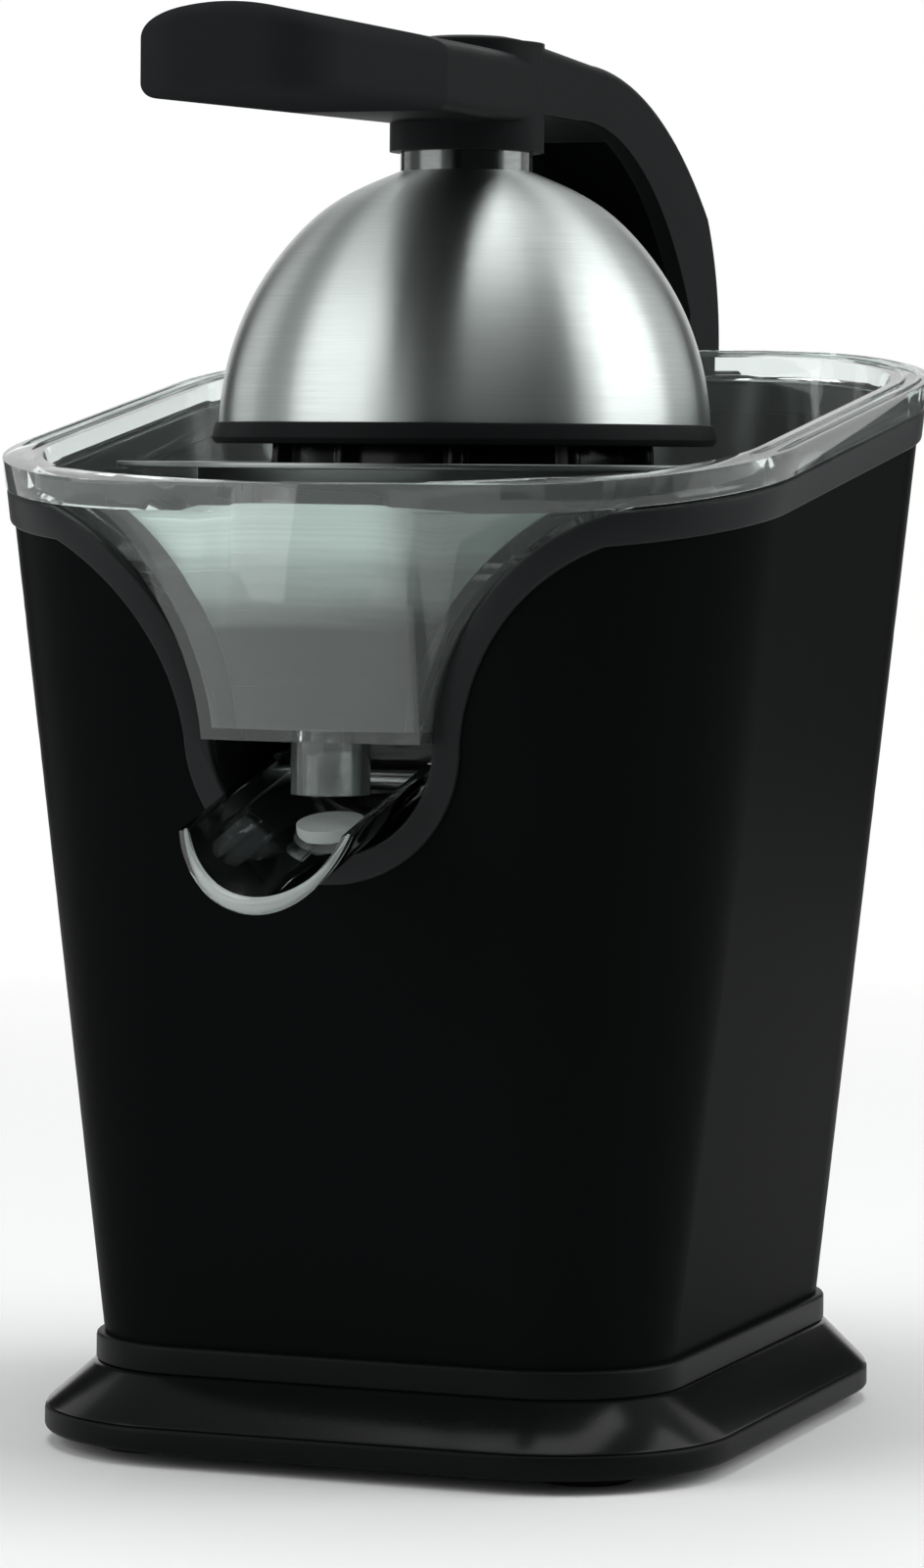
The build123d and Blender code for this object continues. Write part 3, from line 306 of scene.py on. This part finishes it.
COOL = (0.92, 1.0, 1.04)
GREENISH = (0.93, 1.0, 0.975)
WARM = (1.0, 0.98, 0.92)
FINISHES = {
    "satin_black": moulded(
        "satin_black", grey(0.0105, COOL), grey(0.0145, COOL), (0.36, 0.48), 2600.0, 0.02,
        edge=grey(0.024, COOL)),
    "body_black": moulded(
        "body_black", grey(0.0042, COOL), grey(0.0054, COOL), (0.34, 0.40), 3200.0, 0.005,
        cloud=7.0),
    "trim_grey": moulded(
        "trim_grey", grey(0.015, COOL), grey(0.020, COOL), (0.36, 0.46), 2600.0, 0.08,
        edge=grey(0.050, COOL)),
    "gloss_black": moulded(
        "gloss_black", grey(0.0038, COOL), grey(0.0058, COOL), (0.14, 0.22), 1400.0, 0.12,
        edge=grey(0.014, COOL)),
    "clear_plastic": clear(
        "clear_plastic", grey(0.955, GREENISH), grey(0.945, GREENISH), (0.02, 0.04)),
    "brushed_steel": brushed(
        "brushed_steel", grey(0.60, GREENISH), grey(0.48, GREENISH), (0.34, 0.42),
        turned_at=0.2195, pull=0.93),
    "polished_steel": brushed(
        "polished_steel", grey(0.13, GREENISH), grey(0.105, GREENISH), (0.14, 0.22), turned_at=0.2),
    "steel": brushed("steel", grey(0.46), grey(0.36), (0.28, 0.42)),
    "silicone": moulded(
        "silicone", grey(0.50, GREENISH), grey(0.58, GREENISH), (0.50, 0.62), 1800.0, 0.35,
        bump=0.2),
    "rubber": moulded("rubber", grey(0.006), grey(0.011), (0.65, 0.85), 1500.0, 0.2, bump=0.4),
    "nylon": moulded("nylon", grey(0.58, WARM), grey(0.70, WARM), (0.45, 0.6), 1800.0, 0.4),
    "brass": brushed("brass", (0.66, 0.48, 0.22, 1), (0.50, 0.35, 0.15, 1), (0.30, 0.45)),
    "magnet": moulded("magnet", grey(0.05), grey(0.08), (0.55, 0.7), 1600.0, 0.4, bump=0.3),
}


LINER_LINES = (10.0, 10.0, 1400.0)
# Ragged streaks along the edge between the painted dark and pale reflections
LINER_STREAKS = (14.0, 14.0, 160.0)
STREAK_HEIGHT = 0.012
# Painted light on the liner: heights where the painted dark reflection below gives way to the
# painted pale reflection above, and the span over which a painted highlight grows towards the right
LINER_PAINTED_DARK_BELOW, LINER_PAINTED_PALE_ABOVE = 0.184, 0.203
LINER_PAINTED_HIGHLIGHT_LEFT, LINER_PAINTED_HIGHLIGHT_RIGHT = -0.030, 0.035


def make_liner_steel():
    """Liner steel, brushed across, with painted light: a painted dark reflection of the mouth
    below, a painted pale reflection above, ragged streaks between, and a painted highlight palest
    at the right
    """
    material, tree, shader = new_material("liner_steel")
    place = object_place(tree)
    part = put(tree, "ShaderNodeSeparateXYZ", {0: place}).outputs
    drift = noise(tree, stretched(tree, place, LINER_STREAKS), 1.0, detail=3.0)
    height = maths(tree, "ADD", part[2], maths(tree, "MULTIPLY", drift, STREAK_HEIGHT))
    # Painted dark reflection below, painted pale reflection above, painted highlight palest at the
    # right
    painted_reflection = ramp(tree, height, LINER_PAINTED_DARK_BELOW, LINER_PAINTED_PALE_ABOVE)
    right = ramp(tree, part[0], LINER_PAINTED_HIGHLIGHT_LEFT, LINER_PAINTED_HIGHLIGHT_RIGHT)
    painted_pale_upper = blend_colours(tree, right, grey(0.54, GREENISH), grey(0.98, GREENISH))
    painted_pale_upper_line = blend_colours(tree, right, grey(0.43, GREENISH), grey(0.84, GREENISH))
    colour = blend_colours(tree, painted_reflection, grey(0.03, GREENISH), painted_pale_upper)
    line_colour = blend_colours(tree, painted_reflection, grey(0.024, GREENISH), painted_pale_upper_line)
    lay_steel(tree, shader, stretched(tree, place, LINER_LINES), colour, line_colour, (0.26, 0.36))
    return material


SLOT_OF = {row["node"]: row["material_slot"] for row in frame["record"]["subparts"]}
BODY_OF = {
    name: body for body, names in frame["record"]["behaviour"]["bodies"].items() for name in names}
for name, slot in SLOT_OF.items():
    nodes[name].data.materials.clear()
    nodes[name].data.materials.append(FINISHES[slot])
nodes["chute_liner"].data.materials[0] = make_liner_steel()
BASE_GREY = moulded(
    "base_grey", grey(0.0040, COOL), grey(0.0062, COOL), (0.36, 0.46), 2600.0, 0.06,
    edge=grey(0.018, COOL))
HANDLE_BLACK = moulded(
    "handle_black", grey(0.017, COOL), grey(0.023, COOL), (0.40, 0.52), 2600.0, 0.0,
    edge=grey(0.034, COOL))
# Darker copy of the brushed steel for the strainer: painted shade where it sits in the bowl under
# the dome
STRAINER_STEEL_PAINTED_SHADE = brushed(
    "strainer_steel_painted_shade", grey(0.26, GREENISH), grey(0.20, GREENISH), (0.26, 0.36))
CLOUDED_CLEAR = clear(
    "clouded_clear", grey(0.955, GREENISH), grey(0.945, GREENISH), (0.02, 0.04), share=0.95)
# Pale, part-clouded finish for the scoop's lip: a painted glint of light along the clear edge
LIP_PAINTED_GLINT = clear(
    "lip_painted_glint", grey(0.88, GREENISH), grey(0.82, GREENISH), (0.06, 0.12), share=0.6)


# Piece building, all sizes in millimetres until the mesh is made

def add_piece(name, shape, stands_for, crease=32, finish=None, stands=True):
    """Make a shown piece from a bmesh in metres. It rides with the first of the named nodes and
    stands for them all, or is only added to them where stands is off"""
    mesh = bpy.data.meshes.new(name)
    bmesh.ops.recalc_face_normals(shape, faces=shape.faces)
    for face in shape.faces:
        face.smooth = True
    shape.to_mesh(mesh)
    shape.free()
    mesh.set_sharp_from_angle(angle=math.radians(crease))
    slot = SLOT_OF[stands_for[0]]
    mesh.materials.append(finish or FINISHES[slot])
    piece = bpy.data.objects.new(name, mesh)
    bpy.context.scene.collection.objects.link(piece)
    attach(piece, BODY_OF[stands_for[0]])
    if stands:
        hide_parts(*stands_for)
    return piece


def skin_loops(shape, loops, closed_loop=True, closed_ring=False):
    """Join a row of equal loops of points with quads"""
    rows = [[shape.verts.new(Vector(point) * MM) for point in loop] for loop in loops]
    pairs = list(zip(rows, rows[1:]))
    if closed_ring:
        pairs.append((rows[-1], rows[0]))
    for first, second in pairs:
        count = len(first)
        for place in range(count if closed_loop else count - 1):
            after = (place + 1) % count
            shape.faces.new((first[place], first[after], second[after], second[place]))
    return rows


ARC_STEPS = 4
CORNER_STEPS = 14
LONGEST_RUN = 0.49


def rounded_profile(corners):
    """Closed profile from (across, up, corner radius) corners, each corner turned to an arc"""
    points = []
    count = len(corners)
    for place, (x, z, radius) in enumerate(corners):
        here = Vector((x, z))
        before = Vector(corners[place - 1][:2]) - here
        after = Vector(corners[(place + 1) % count][:2]) - here
        if radius <= 0:
            points.append(tuple(here))
            continue
        half = before.angle(after) / 2
        longest = [side.length * LONGEST_RUN for side in (before, after)]
        run = min(radius / math.tan(half), *longest)
        inwards = (before.normalized() + after.normalized()).normalized()
        centre = here + inwards * (run / math.cos(half))
        start = here + before.normalized() * run - centre
        turn = start.angle_signed(here + after.normalized() * run - centre)
        for step in range(ARC_STEPS + 1):
            angle = -turn * step / ARC_STEPS
            spun = Vector((
                start.x * math.cos(angle) - start.y * math.sin(angle),
                start.x * math.sin(angle) + start.y * math.cos(angle)))
            points.append(tuple(centre + spun))
    return points


DRIVE_AXIS = (0.0, 0.0)


def round_loop(radius, height, steps, centre=DRIVE_AXIS):
    """Loop of points round an upright axis"""
    loop = []
    for step in range(steps):
        angle = FULL_TURN * step / steps
        loop.append((
            centre[0] + radius * math.cos(angle), centre[1] + radius * math.sin(angle), height))
    return loop


def turned_piece(name, corners, stands_for, steps=128, centres=(DRIVE_AXIS,)):
    """Ring turned from a closed profile of (radius, height, corner radius), clear of the axis"""
    shape = bmesh.new()
    profile = rounded_profile(corners)
    for centre in centres:
        loops = [round_loop(radius, height, steps, centre) for radius, height in profile]
        skin_loops(shape, loops, closed_ring=True)
    return add_piece(name, shape, stands_for)


def rounded_outline(size, grow, height):
    """Loop of points round the body's plan at one height, moved outwards by grow; size is half the
    width, reach to the front, reach to the back and corner radius"""
    half_width, front, back, corner = size
    radius = corner + grow
    points = []
    for sign_x, sign_y, begin in ((1, 1, 0), (-1, 1, 90), (-1, -1, 180), (1, -1, 270)):
        middle_x = sign_x * (half_width - corner)
        middle_y = (back - corner) if sign_y > 0 else -(front - corner)
        for step in range(CORNER_STEPS + 1):
            angle = math.radians(begin + 90 * step / CORNER_STEPS)
            points.append((
                middle_x + radius * math.cos(angle), middle_y + radius * math.sin(angle), height))
    return points


def banded_piece(name, corners, size, stands_for, finish):
    """Ring round the body's plan from a closed profile of (move outwards, height, corner radius)"""
    shape = bmesh.new()
    loops = [rounded_outline(size, grow, height) for grow, height in rounded_profile(corners)]
    skin_loops(shape, loops, closed_ring=True)
    return add_piece(name, shape, stands_for, finish=finish)


WELD = 3e-6
FLAT_ANGLE = math.radians(0.3)
SHARP_ANGLE = math.radians(35)
BEVEL_STEPS = 3


def welded_copy(node):
    """The node's own shape with its split corners joined"""
    shape = bmesh.new()
    shape.from_mesh(nodes[node].data)
    bmesh.ops.remove_doubles(shape, verts=shape.verts, dist=WELD)
    return shape


def softened(node, name, width, finish=None):
    """The node's own shape with its sharp edges eased"""
    shape = welded_copy(node)
    bmesh.ops.dissolve_limit(
        shape, angle_limit=FLAT_ANGLE, verts=shape.verts, edges=shape.edges,
        use_dissolve_boundaries=False)
    edges = [
        edge for edge in shape.edges
        if len(edge.link_faces) == 2 and edge.calc_face_angle(0) > SHARP_ANGLE]
    bmesh.ops.bevel(
        shape, geom=edges, offset=width * MM, offset_type="OFFSET", segments=BEVEL_STEPS,
        profile=0.5, affect="EDGES", clamp_overlap=True)
    return add_piece(name, shape, [node], finish=finish)


def tube_loops(path, radii, sides):
    """Round tube along a path of points, one radius to each point"""
    loops = []
    for place, (point, radius) in enumerate(zip(path, radii)):
        along = (path[min(place + 1, len(path) - 1)] - path[max(place - 1, 0)]).normalized()
        if place == 0:
            side = along.orthogonal().normalized()
        else:
            side = (side - along * side.dot(along)).normalized()
        up = along.cross(side)
        angles = [FULL_TURN * step / sides for step in range(sides)]
        loops.append([
            point + radius * (side * math.cos(angle) + up * math.sin(angle)) for angle in angles])
    return loops


def tube_piece(name, path, radii, sides, added_to, finish):
    """Round tube with closed ends, added to a node"""
    shape = bmesh.new()
    rows = skin_loops(shape, tube_loops(path, radii, sides))
    shape.faces.new(rows[0])
    shape.faces.new(rows[-1])
    return add_piece(name, shape, [added_to], finish=finish, stands=False)


# Base: skirt, slope, collar and feet

SKIRT_OUTLINE = (77.5, 81.5, 93.0, 39.5)
SKIRT_FOOT, SKIRT_TOP = 3.0, 8.4
COLLAR_OUTLINE = (64.8, 67.8, 82.8, 26.3)
COLLAR_FOOT, COLLAR_TOP = 18.0, 24.0
COLLAR_PROUD = 1.8
BAND_BACK = -2.5
FOOT_INNER, FOOT_RADIUS = 0.4, 11.0
FEET = ((-50.0, -56.0), (50.0, -56.0), (-50.0, 66.0), (50.0, 66.0))
# Slope section from the skirt up: share of the way, move outwards
SLOPE_SECTION = (
    (0.0, -2.4), (0.0, -0.7), (0.02, -0.22), (0.07, 0.0), (0.5, 0.0), (0.93, 0.0), (0.98, -0.22),
    (1.0, -0.7), (1.0, -2.4))


def make_base_slope():
    """Polished slope from the skirt up to the collar, its two rims rounded"""
    shape = bmesh.new()
    loops = []
    for share, grow in SLOPE_SECTION:
        low = rounded_outline(SKIRT_OUTLINE, grow, SKIRT_TOP)
        high = rounded_outline(COLLAR_OUTLINE, COLLAR_PROUD + grow, COLLAR_FOOT)
        loops.append([Vector(a).lerp(Vector(b), share) for a, b in zip(low, high)])
    skin_loops(shape, loops, closed_ring=True)
    return add_piece("base_slope", shape, ["base_moulding"], crease=60)


banded_piece(
    "skirt_band",
    [(0, SKIRT_FOOT, 1.2), (0, SKIRT_TOP, 1.0), (BAND_BACK, SKIRT_TOP, 0.2),
     (BAND_BACK, SKIRT_FOOT, 0.2)],
    SKIRT_OUTLINE, ["base_skirt"], BASE_GREY)
banded_piece(
    "collar_band",
    [(COLLAR_PROUD, COLLAR_FOOT, 0.5), (COLLAR_PROUD, COLLAR_TOP, 0.9),
     (BAND_BACK, COLLAR_TOP, 0.2), (BAND_BACK, COLLAR_FOOT, 0.2)],
    COLLAR_OUTLINE, ["collar_ring"], BASE_GREY)
make_base_slope()
turned_piece(
    "foot_pads",
    [(FOOT_INNER, 0.0, 0.0), (FOOT_RADIUS, 0.0, 1.0), (FOOT_RADIUS, SKIRT_FOOT, 0.4),
     (FOOT_INNER, SKIRT_FOOT, 0.0)],
    ["rubber_feet"], steps=48, centres=FEET)


# Reamer: sizes of its ovals are (radius, height), angles are in degrees up the oval

CONE_BASE = 209.0
CONE_CORE, CONE_CREST, CONE_INSIDE = (40.0, 58.0), (44.0, 60.0), (37.0, 55.0)
CONE_CUT = 86
OUTER_STEPS, INNER_STEPS = 36, 12
RIBS = 10
RIB_HALF = 2.2
RIB_ROOM = 0.94
RIB_END, RIB_FADE = 80, 12
VALLEY_STEPS = 7
# Half a rib's section from its foot up: distance from the middle, share of the rise
RIB_SIDE = (
    (RIB_HALF + 0.5, 0.0), (RIB_HALF + 0.15, 0.12), (RIB_HALF - 0.4, 0.72), (RIB_HALF - 1.0, 0.95))
RIB_SECTION = (*((-offset, rise) for offset, rise in RIB_SIDE), (0.0, 1.0), *reversed(RIB_SIDE))


def up_the_cone(size, lean):
    return size[0] * math.cos(lean), CONE_BASE + size[1] * math.sin(lean)


def ribbed_loop(lean):
    """Loop round the cone's outside at one angle up the oval, over every rib and valley"""
    core, crest = up_the_cone(CONE_CORE, lean), up_the_cone(CONE_CREST, lean)
    fade = min(1.0, max(0.0, (RIB_END - math.degrees(lean)) / RIB_FADE))
    limit = math.pi / RIBS * RIB_ROOM
    section = [
        (max(-limit, min(limit, math.atan2(offset, core[0]))), rise * fade)
        for offset, rise in RIB_SECTION]
    last, following = section[-1][0], FULL_TURN / RIBS + section[0][0]
    for place in range(1, VALLEY_STEPS):
        section.append((last + (following - last) * place / VALLEY_STEPS, 0.0))
    loop = []
    for rib in range(RIBS):
        middle = FULL_TURN * rib / RIBS
        for angle, share in section:
            radius = core[0] + (crest[0] - core[0]) * share
            height = core[1] + (crest[1] - core[1]) * share
            loop.append((
                radius * math.cos(middle + angle), radius * math.sin(middle + angle), height))
    return loop


def make_reamer():
    """Ribbed cone, ribs rounded along their crests and run out near the top"""
    shape = bmesh.new()
    outer = [
        ribbed_loop(math.radians(CONE_CUT * step / OUTER_STEPS)) for step in range(OUTER_STEPS + 1)]
    inner = []
    for step in range(INNER_STEPS + 1):
        radius, height = up_the_cone(CONE_INSIDE, math.radians(CONE_CUT * step / INNER_STEPS))
        inner.append(round_loop(radius, height, len(outer[0])))
    rows = skin_loops(shape, inner[::-1] + outer)
    shape.faces.new(rows[-1])
    shape.faces.new(rows[0])
    return add_piece("ribbed_cone", shape, ["reamer"], crease=50, finish=FINISHES["gloss_black"])


def make_return_coil():
    """Spring under the drive shaft's collar, which shortens as the reamer is pressed; here it keeps
    one shape, with a mesh of its own
    """
    coil = add_piece("return_coil", welded_copy("return_spring"), ["return_spring"])
    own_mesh(coil)


make_reamer()
make_return_coil()


# Bowl, spout and arm

SCOOP_RADIUS = 20.3
SCOOP_WALL_MIDDLE = 19.2
SCOOP_DEPTH = 13.6
SCOOP_LENGTH = 72.0
SCOOP_TIP_CUT = 11.0
SCOOP_TILT = math.radians(14.5)
SCOOP_HINGE_Y = -56.0
SCOOP_FLOOR_AT_HINGE = 138.7
SCOOP_LIFT = SCOOP_FLOOR_AT_HINGE + SCOOP_RADIUS / math.cos(SCOOP_TILT)
SCOOP_PLACE = (
    Matrix.Translation((0, SCOOP_HINGE_Y, SCOOP_LIFT)) @ Matrix.Rotation(SCOOP_TILT, 4, "X"))
LIP_STEPS, LIP_SIDES = 16, 14
LIP_INSET = 0.9
LIP_THIN, LIP_SWELL, LIP_TAPER = 0.35, 1.5, 1.5
RIM_OUTLINE = (91.0, 93.5, 101.0, 55.0)
RIM_ABOVE_COLLAR = 216.0
RIM_HEIGHT, RIM_SLOPE = 223.6, 0.16
RIM_ROUNDS = 5
RIDGE_FRONT = -50.0
RIDGE_END, RIDGE_RADIUS, RIDGE_SIDES = 0.2, 0.6, 10
# Points of a rounded outline: the first of its last corner, front right, and how many in all
FRONT_RIGHT = 3 * (CORNER_STEPS + 1)
OUTLINE_POINTS = 4 * (CORNER_STEPS + 1)
# Sections as (radius, height, corner radius)
DOME_LIP_SECTION = (
    (52.5, 217.3, 0.4), (55.2, 217.3, 0.5), (56.0, 218.6, 0.5), (55.2, 222.0, 0.4),
    (54.5, 222.0, 0.1), (54.5, 219.5, 0.1), (52.5, 219.5, 0.1))
HUB_BUTTON_SECTION = (
    (0.3, 307.5, 0.0), (9.0, 307.4, 0.5), (12.5, 306.7, 0.5), (12.5, 306.0, 0.0), (0.3, 306.0, 0.0))


def make_scoop_lip():
    """Rounded pouring lip along the scoop's front edge, thickest in the middle; its pale finish is
    a painted glint of light along the clear edge
    """
    path, radii = [], []
    reach = math.acos((SCOOP_RADIUS - SCOOP_DEPTH) / SCOOP_WALL_MIDDLE)
    for step in range(2 * LIP_STEPS + 1):
        angle = reach * (step / LIP_STEPS - 1)
        low = -SCOOP_WALL_MIDDLE * math.cos(angle)
        front = -SCOOP_LENGTH + SCOOP_TIP_CUT * (low + SCOOP_RADIUS) / SCOOP_DEPTH + LIP_INSET
        path.append(SCOOP_PLACE @ Vector((SCOOP_WALL_MIDDLE * math.sin(angle), front, low)))
        swell = math.cos(angle / reach * math.pi / 2) ** LIP_TAPER
        radii.append(LIP_THIN + LIP_SWELL * swell)
    return tube_piece("scoop_lip", path, radii, LIP_SIDES, "spout_scoop", LIP_PAINTED_GLINT)


def rim_path(grow):
    """Path on the rim's sloped top, from the right side round the back to the left side. The plan
    widens with height and the height follows the plan, so a few rounds settle both"""
    path = []
    for place in (*range(FRONT_RIGHT, OUTLINE_POINTS), *range(FRONT_RIGHT)):
        height = RIM_HEIGHT
        for _ in range(RIM_ROUNDS):
            share = (height - COLLAR_TOP) / RIM_ABOVE_COLLAR
            size = [low + share * (high - low) for low, high in zip(COLLAR_OUTLINE, RIM_OUTLINE)]
            point = rounded_outline(size, grow, height)[place]
            height = RIM_HEIGHT + RIM_SLOPE * point[1]
        if point[1] > RIDGE_FRONT:
            path.append(Vector(point))
    return path


def make_rim_ridge(name, grow):
    """Low ridge along the rim, run out at both ends"""
    path = rim_path(grow)
    radii = [RIDGE_END] + [RIDGE_RADIUS] * (len(path) - 2) + [RIDGE_END]
    return tube_piece(name, path, radii, RIDGE_SIDES, "juice_bowl", CLOUDED_CLEAR)


softened("juice_bowl", "clear_bowl", width=0.55, finish=CLOUDED_CLEAR)
softened("spout_scoop", "clear_scoop", width=0.5)
softened("strainer", "strainer_dish", width=0.35, finish=STRAINER_STEEL_PAINTED_SHADE)
softened("handle_grip", "grip_cover", width=0.4, finish=HANDLE_BLACK)
softened("handle_underside", "grip_plate", width=0.3, finish=HANDLE_BLACK)
softened("mouth_trim", "mouth_band", width=0.7)
softened("hinge_tower", "hinge_block", width=0.9)
softened("arm_frame", "press_bracket", width=0.8)
make_scoop_lip()
make_rim_ridge("rim_ridge_outer", grow=-1.0)
make_rim_ridge("rim_ridge_inner", grow=-4.6)
turned_piece("dome_lip", DOME_LIP_SECTION, ["dome_ring"])
turned_piece("hub_button", HUB_BUTTON_SECTION, ["hub_cap"], steps=64)


# Studio: pale floor that curves up into a backdrop, dark cards, soft lamps, camera; the floor and
# the cards are in millimetres, the rest in metres

VIEW_SIDE = math.radians(20.6)
VIEW_DISTANCE = 1.256
EYE_HEIGHT = 0.2158
VIEW_DIP = math.radians(1.765)
VIEW_ROLL = math.radians(0.45)
VIEW_YAW = math.radians(0.01)
VIEW_LENS = 129.98
VIEW_SHIFT = -161 / 1600
NEAREST_SEEN = 0.05
SHADOW_NEAR, WHITE_FAR = 0.25, 1.1
SWEEP_HALF_WIDTH, SWEEP_FRONT = 9000.0, -9000.0
SWEEP_TURN, SWEEP_BEND, SWEEP_TOP = 3000.0, 1500.0, 5000.0
SWEEP_STEPS = 12
DOME_MIDDLE = Vector((0, 0, 0.22))
STUDIO_AIR = (0.36, 0.37, 0.37, 1)
CARD_GREY = moulded(
    "card_grey", grey(0.035, GREENISH), grey(0.045, GREENISH), (0.8, 0.9), 300.0, 0.1)


def make_studio_paint():
    """Pale paint that keeps the shadow near the press and turns to plain white further off"""
    material, tree, shader = new_material("studio_paint")
    skin = place_skin(tree, grey(0.84), grey(0.88), (0.85, 0.95), 300.0, 0.6)
    fill(tree, shader, {
        "Base Color": skin["Colour"], "Roughness": skin["Roughness"], "Specular IOR Level": 0.1})
    place = put(tree, "ShaderNodeNewGeometry").outputs["Position"]
    away = put(tree, "ShaderNodeVectorMath", {0: place}, operation="LENGTH").outputs["Value"]
    far = ramp(tree, away, SHADOW_NEAR, WHITE_FAR)
    rays = put(tree, "ShaderNodeLightPath").outputs
    mirrored = maths(tree, "MAXIMUM", rays["Is Glossy Ray"], rays["Is Transmission Ray"])
    seen = maths(tree, "MAXIMUM", rays["Is Camera Ray"], mirrored)
    white = put(tree, "ShaderNodeEmission", {"Color": grey(1.0), "Strength": 1.0}).outputs[0]
    share = maths(tree, "MULTIPLY", far, seen)
    mix = put(tree, "ShaderNodeMixShader", {0: share, 1: shader.outputs[0], 2: white}).outputs[0]
    fill(tree, tree.nodes["Material Output"], {"Surface": mix})
    return material


def studio_object(name, shape, finish):
    mesh = bpy.data.meshes.new(name)
    shape.to_mesh(mesh)
    shape.free()
    mesh.materials.append(finish)
    thing = bpy.data.objects.new(name, mesh)
    bpy.context.scene.collection.objects.link(thing)
    return thing


def make_studio_floor():
    """Pale sweep: flat under the press, curved up behind it"""
    shape = bmesh.new()
    profile = [(SWEEP_FRONT, 0.0), (0.0, 0.0), (SWEEP_TURN, 0.0)]
    for step in range(1, SWEEP_STEPS + 1):
        angle = math.radians(90 * step / SWEEP_STEPS)
        profile.append((
            SWEEP_TURN + SWEEP_BEND * math.sin(angle), SWEEP_BEND * (1 - math.cos(angle))))
    profile.append((SWEEP_TURN + SWEEP_BEND, SWEEP_TOP))
    loops = [[(-SWEEP_HALF_WIDTH, y, z), (SWEEP_HALF_WIDTH, y, z)] for y, z in profile]
    skin_loops(shape, loops, closed_loop=False)
    for face in shape.faces:
        face.smooth = True
    sweep = studio_object("studio_sweep", shape, make_studio_paint())
    sweep.rotation_euler.z = VIEW_SIDE


def round_about(side, distance, height):
    """Place in the studio, side in degrees to the right of the view as seen from the press"""
    angle = VIEW_SIDE + math.radians(side)
    return Vector((distance * math.sin(angle), -distance * math.cos(angle), height))


def make_lamp(name, place, size, brightness):
    """Soft lamp aimed at the dome; brightness is that of its face, where 1 is white"""
    lamp = bpy.data.lights.new(name, "AREA")
    lamp.shape = "RECTANGLE"
    lamp.size, lamp.size_y = size
    lamp.energy = brightness * math.pi * size[0] * size[1]
    holder = bpy.data.objects.new(name, lamp)
    holder.location = place
    holder.rotation_euler = (DOME_MIDDLE - place).to_track_quat("-Z", "Y").to_euler()
    bpy.context.scene.collection.objects.link(holder)


def make_card(name, begin, end, distance, finish, height=1500.0):
    """Tall dark card out of view between two sides in degrees, for the steel and the clear plastic
    to mirror"""
    shape = bmesh.new()
    near, far = round_about(begin, distance, 0), round_about(end, distance, 0)
    tall = Vector((0, 0, height))
    skin_loops(shape, [[near, far], [near + tall, far + tall]], closed_loop=False)
    card = studio_object(name, shape, finish)
    card.visible_camera = False


make_studio_floor()
make_card("front_card", -25, -12, 900, FINISHES["rubber"], height=1900.0)
make_card("middle_card", -12, 58, 900, CARD_GREY, height=1900.0)
make_card("right_card", 138, 156, 1000, FINISHES["rubber"])
make_card("left_card", -156, -138, 1000, FINISHES["rubber"])
make_lamp("right_softbox", round_about(88, 1.5, 0.95), size=(1.35, 1.5), brightness=2.8)
make_lamp("left_softbox", round_about(-66, 1.5, 0.85), size=(1.3, 1.5), brightness=2.0)
make_lamp("top_softbox", Vector((0.0, 0.0, 2.2)), size=(1.6, 1.6), brightness=3.4)

world = bpy.data.worlds.new("studio_air")
world.use_nodes = True
fill(world.node_tree, world.node_tree.nodes["Background"], {"Color": STUDIO_AIR, "Strength": 1.0})
bpy.context.scene.world = world

camera_data = bpy.data.cameras.new("view")
camera_data.lens = VIEW_LENS
camera_data.shift_y = VIEW_SHIFT
camera_data.clip_start = NEAREST_SEEN
camera = bpy.data.objects.new("view", camera_data)
bpy.context.scene.collection.objects.link(camera)
camera.location = round_about(0, VIEW_DISTANCE, EYE_HEIGHT)
aim = Euler((math.radians(90) - VIEW_DIP, 0, VIEW_SIDE + VIEW_YAW)).to_matrix()
camera.rotation_euler = (aim @ Matrix.Rotation(VIEW_ROLL, 3, "Z")).to_euler()
bpy.context.scene.camera = camera
bpy.context.scene.view_settings.view_transform = "Standard"
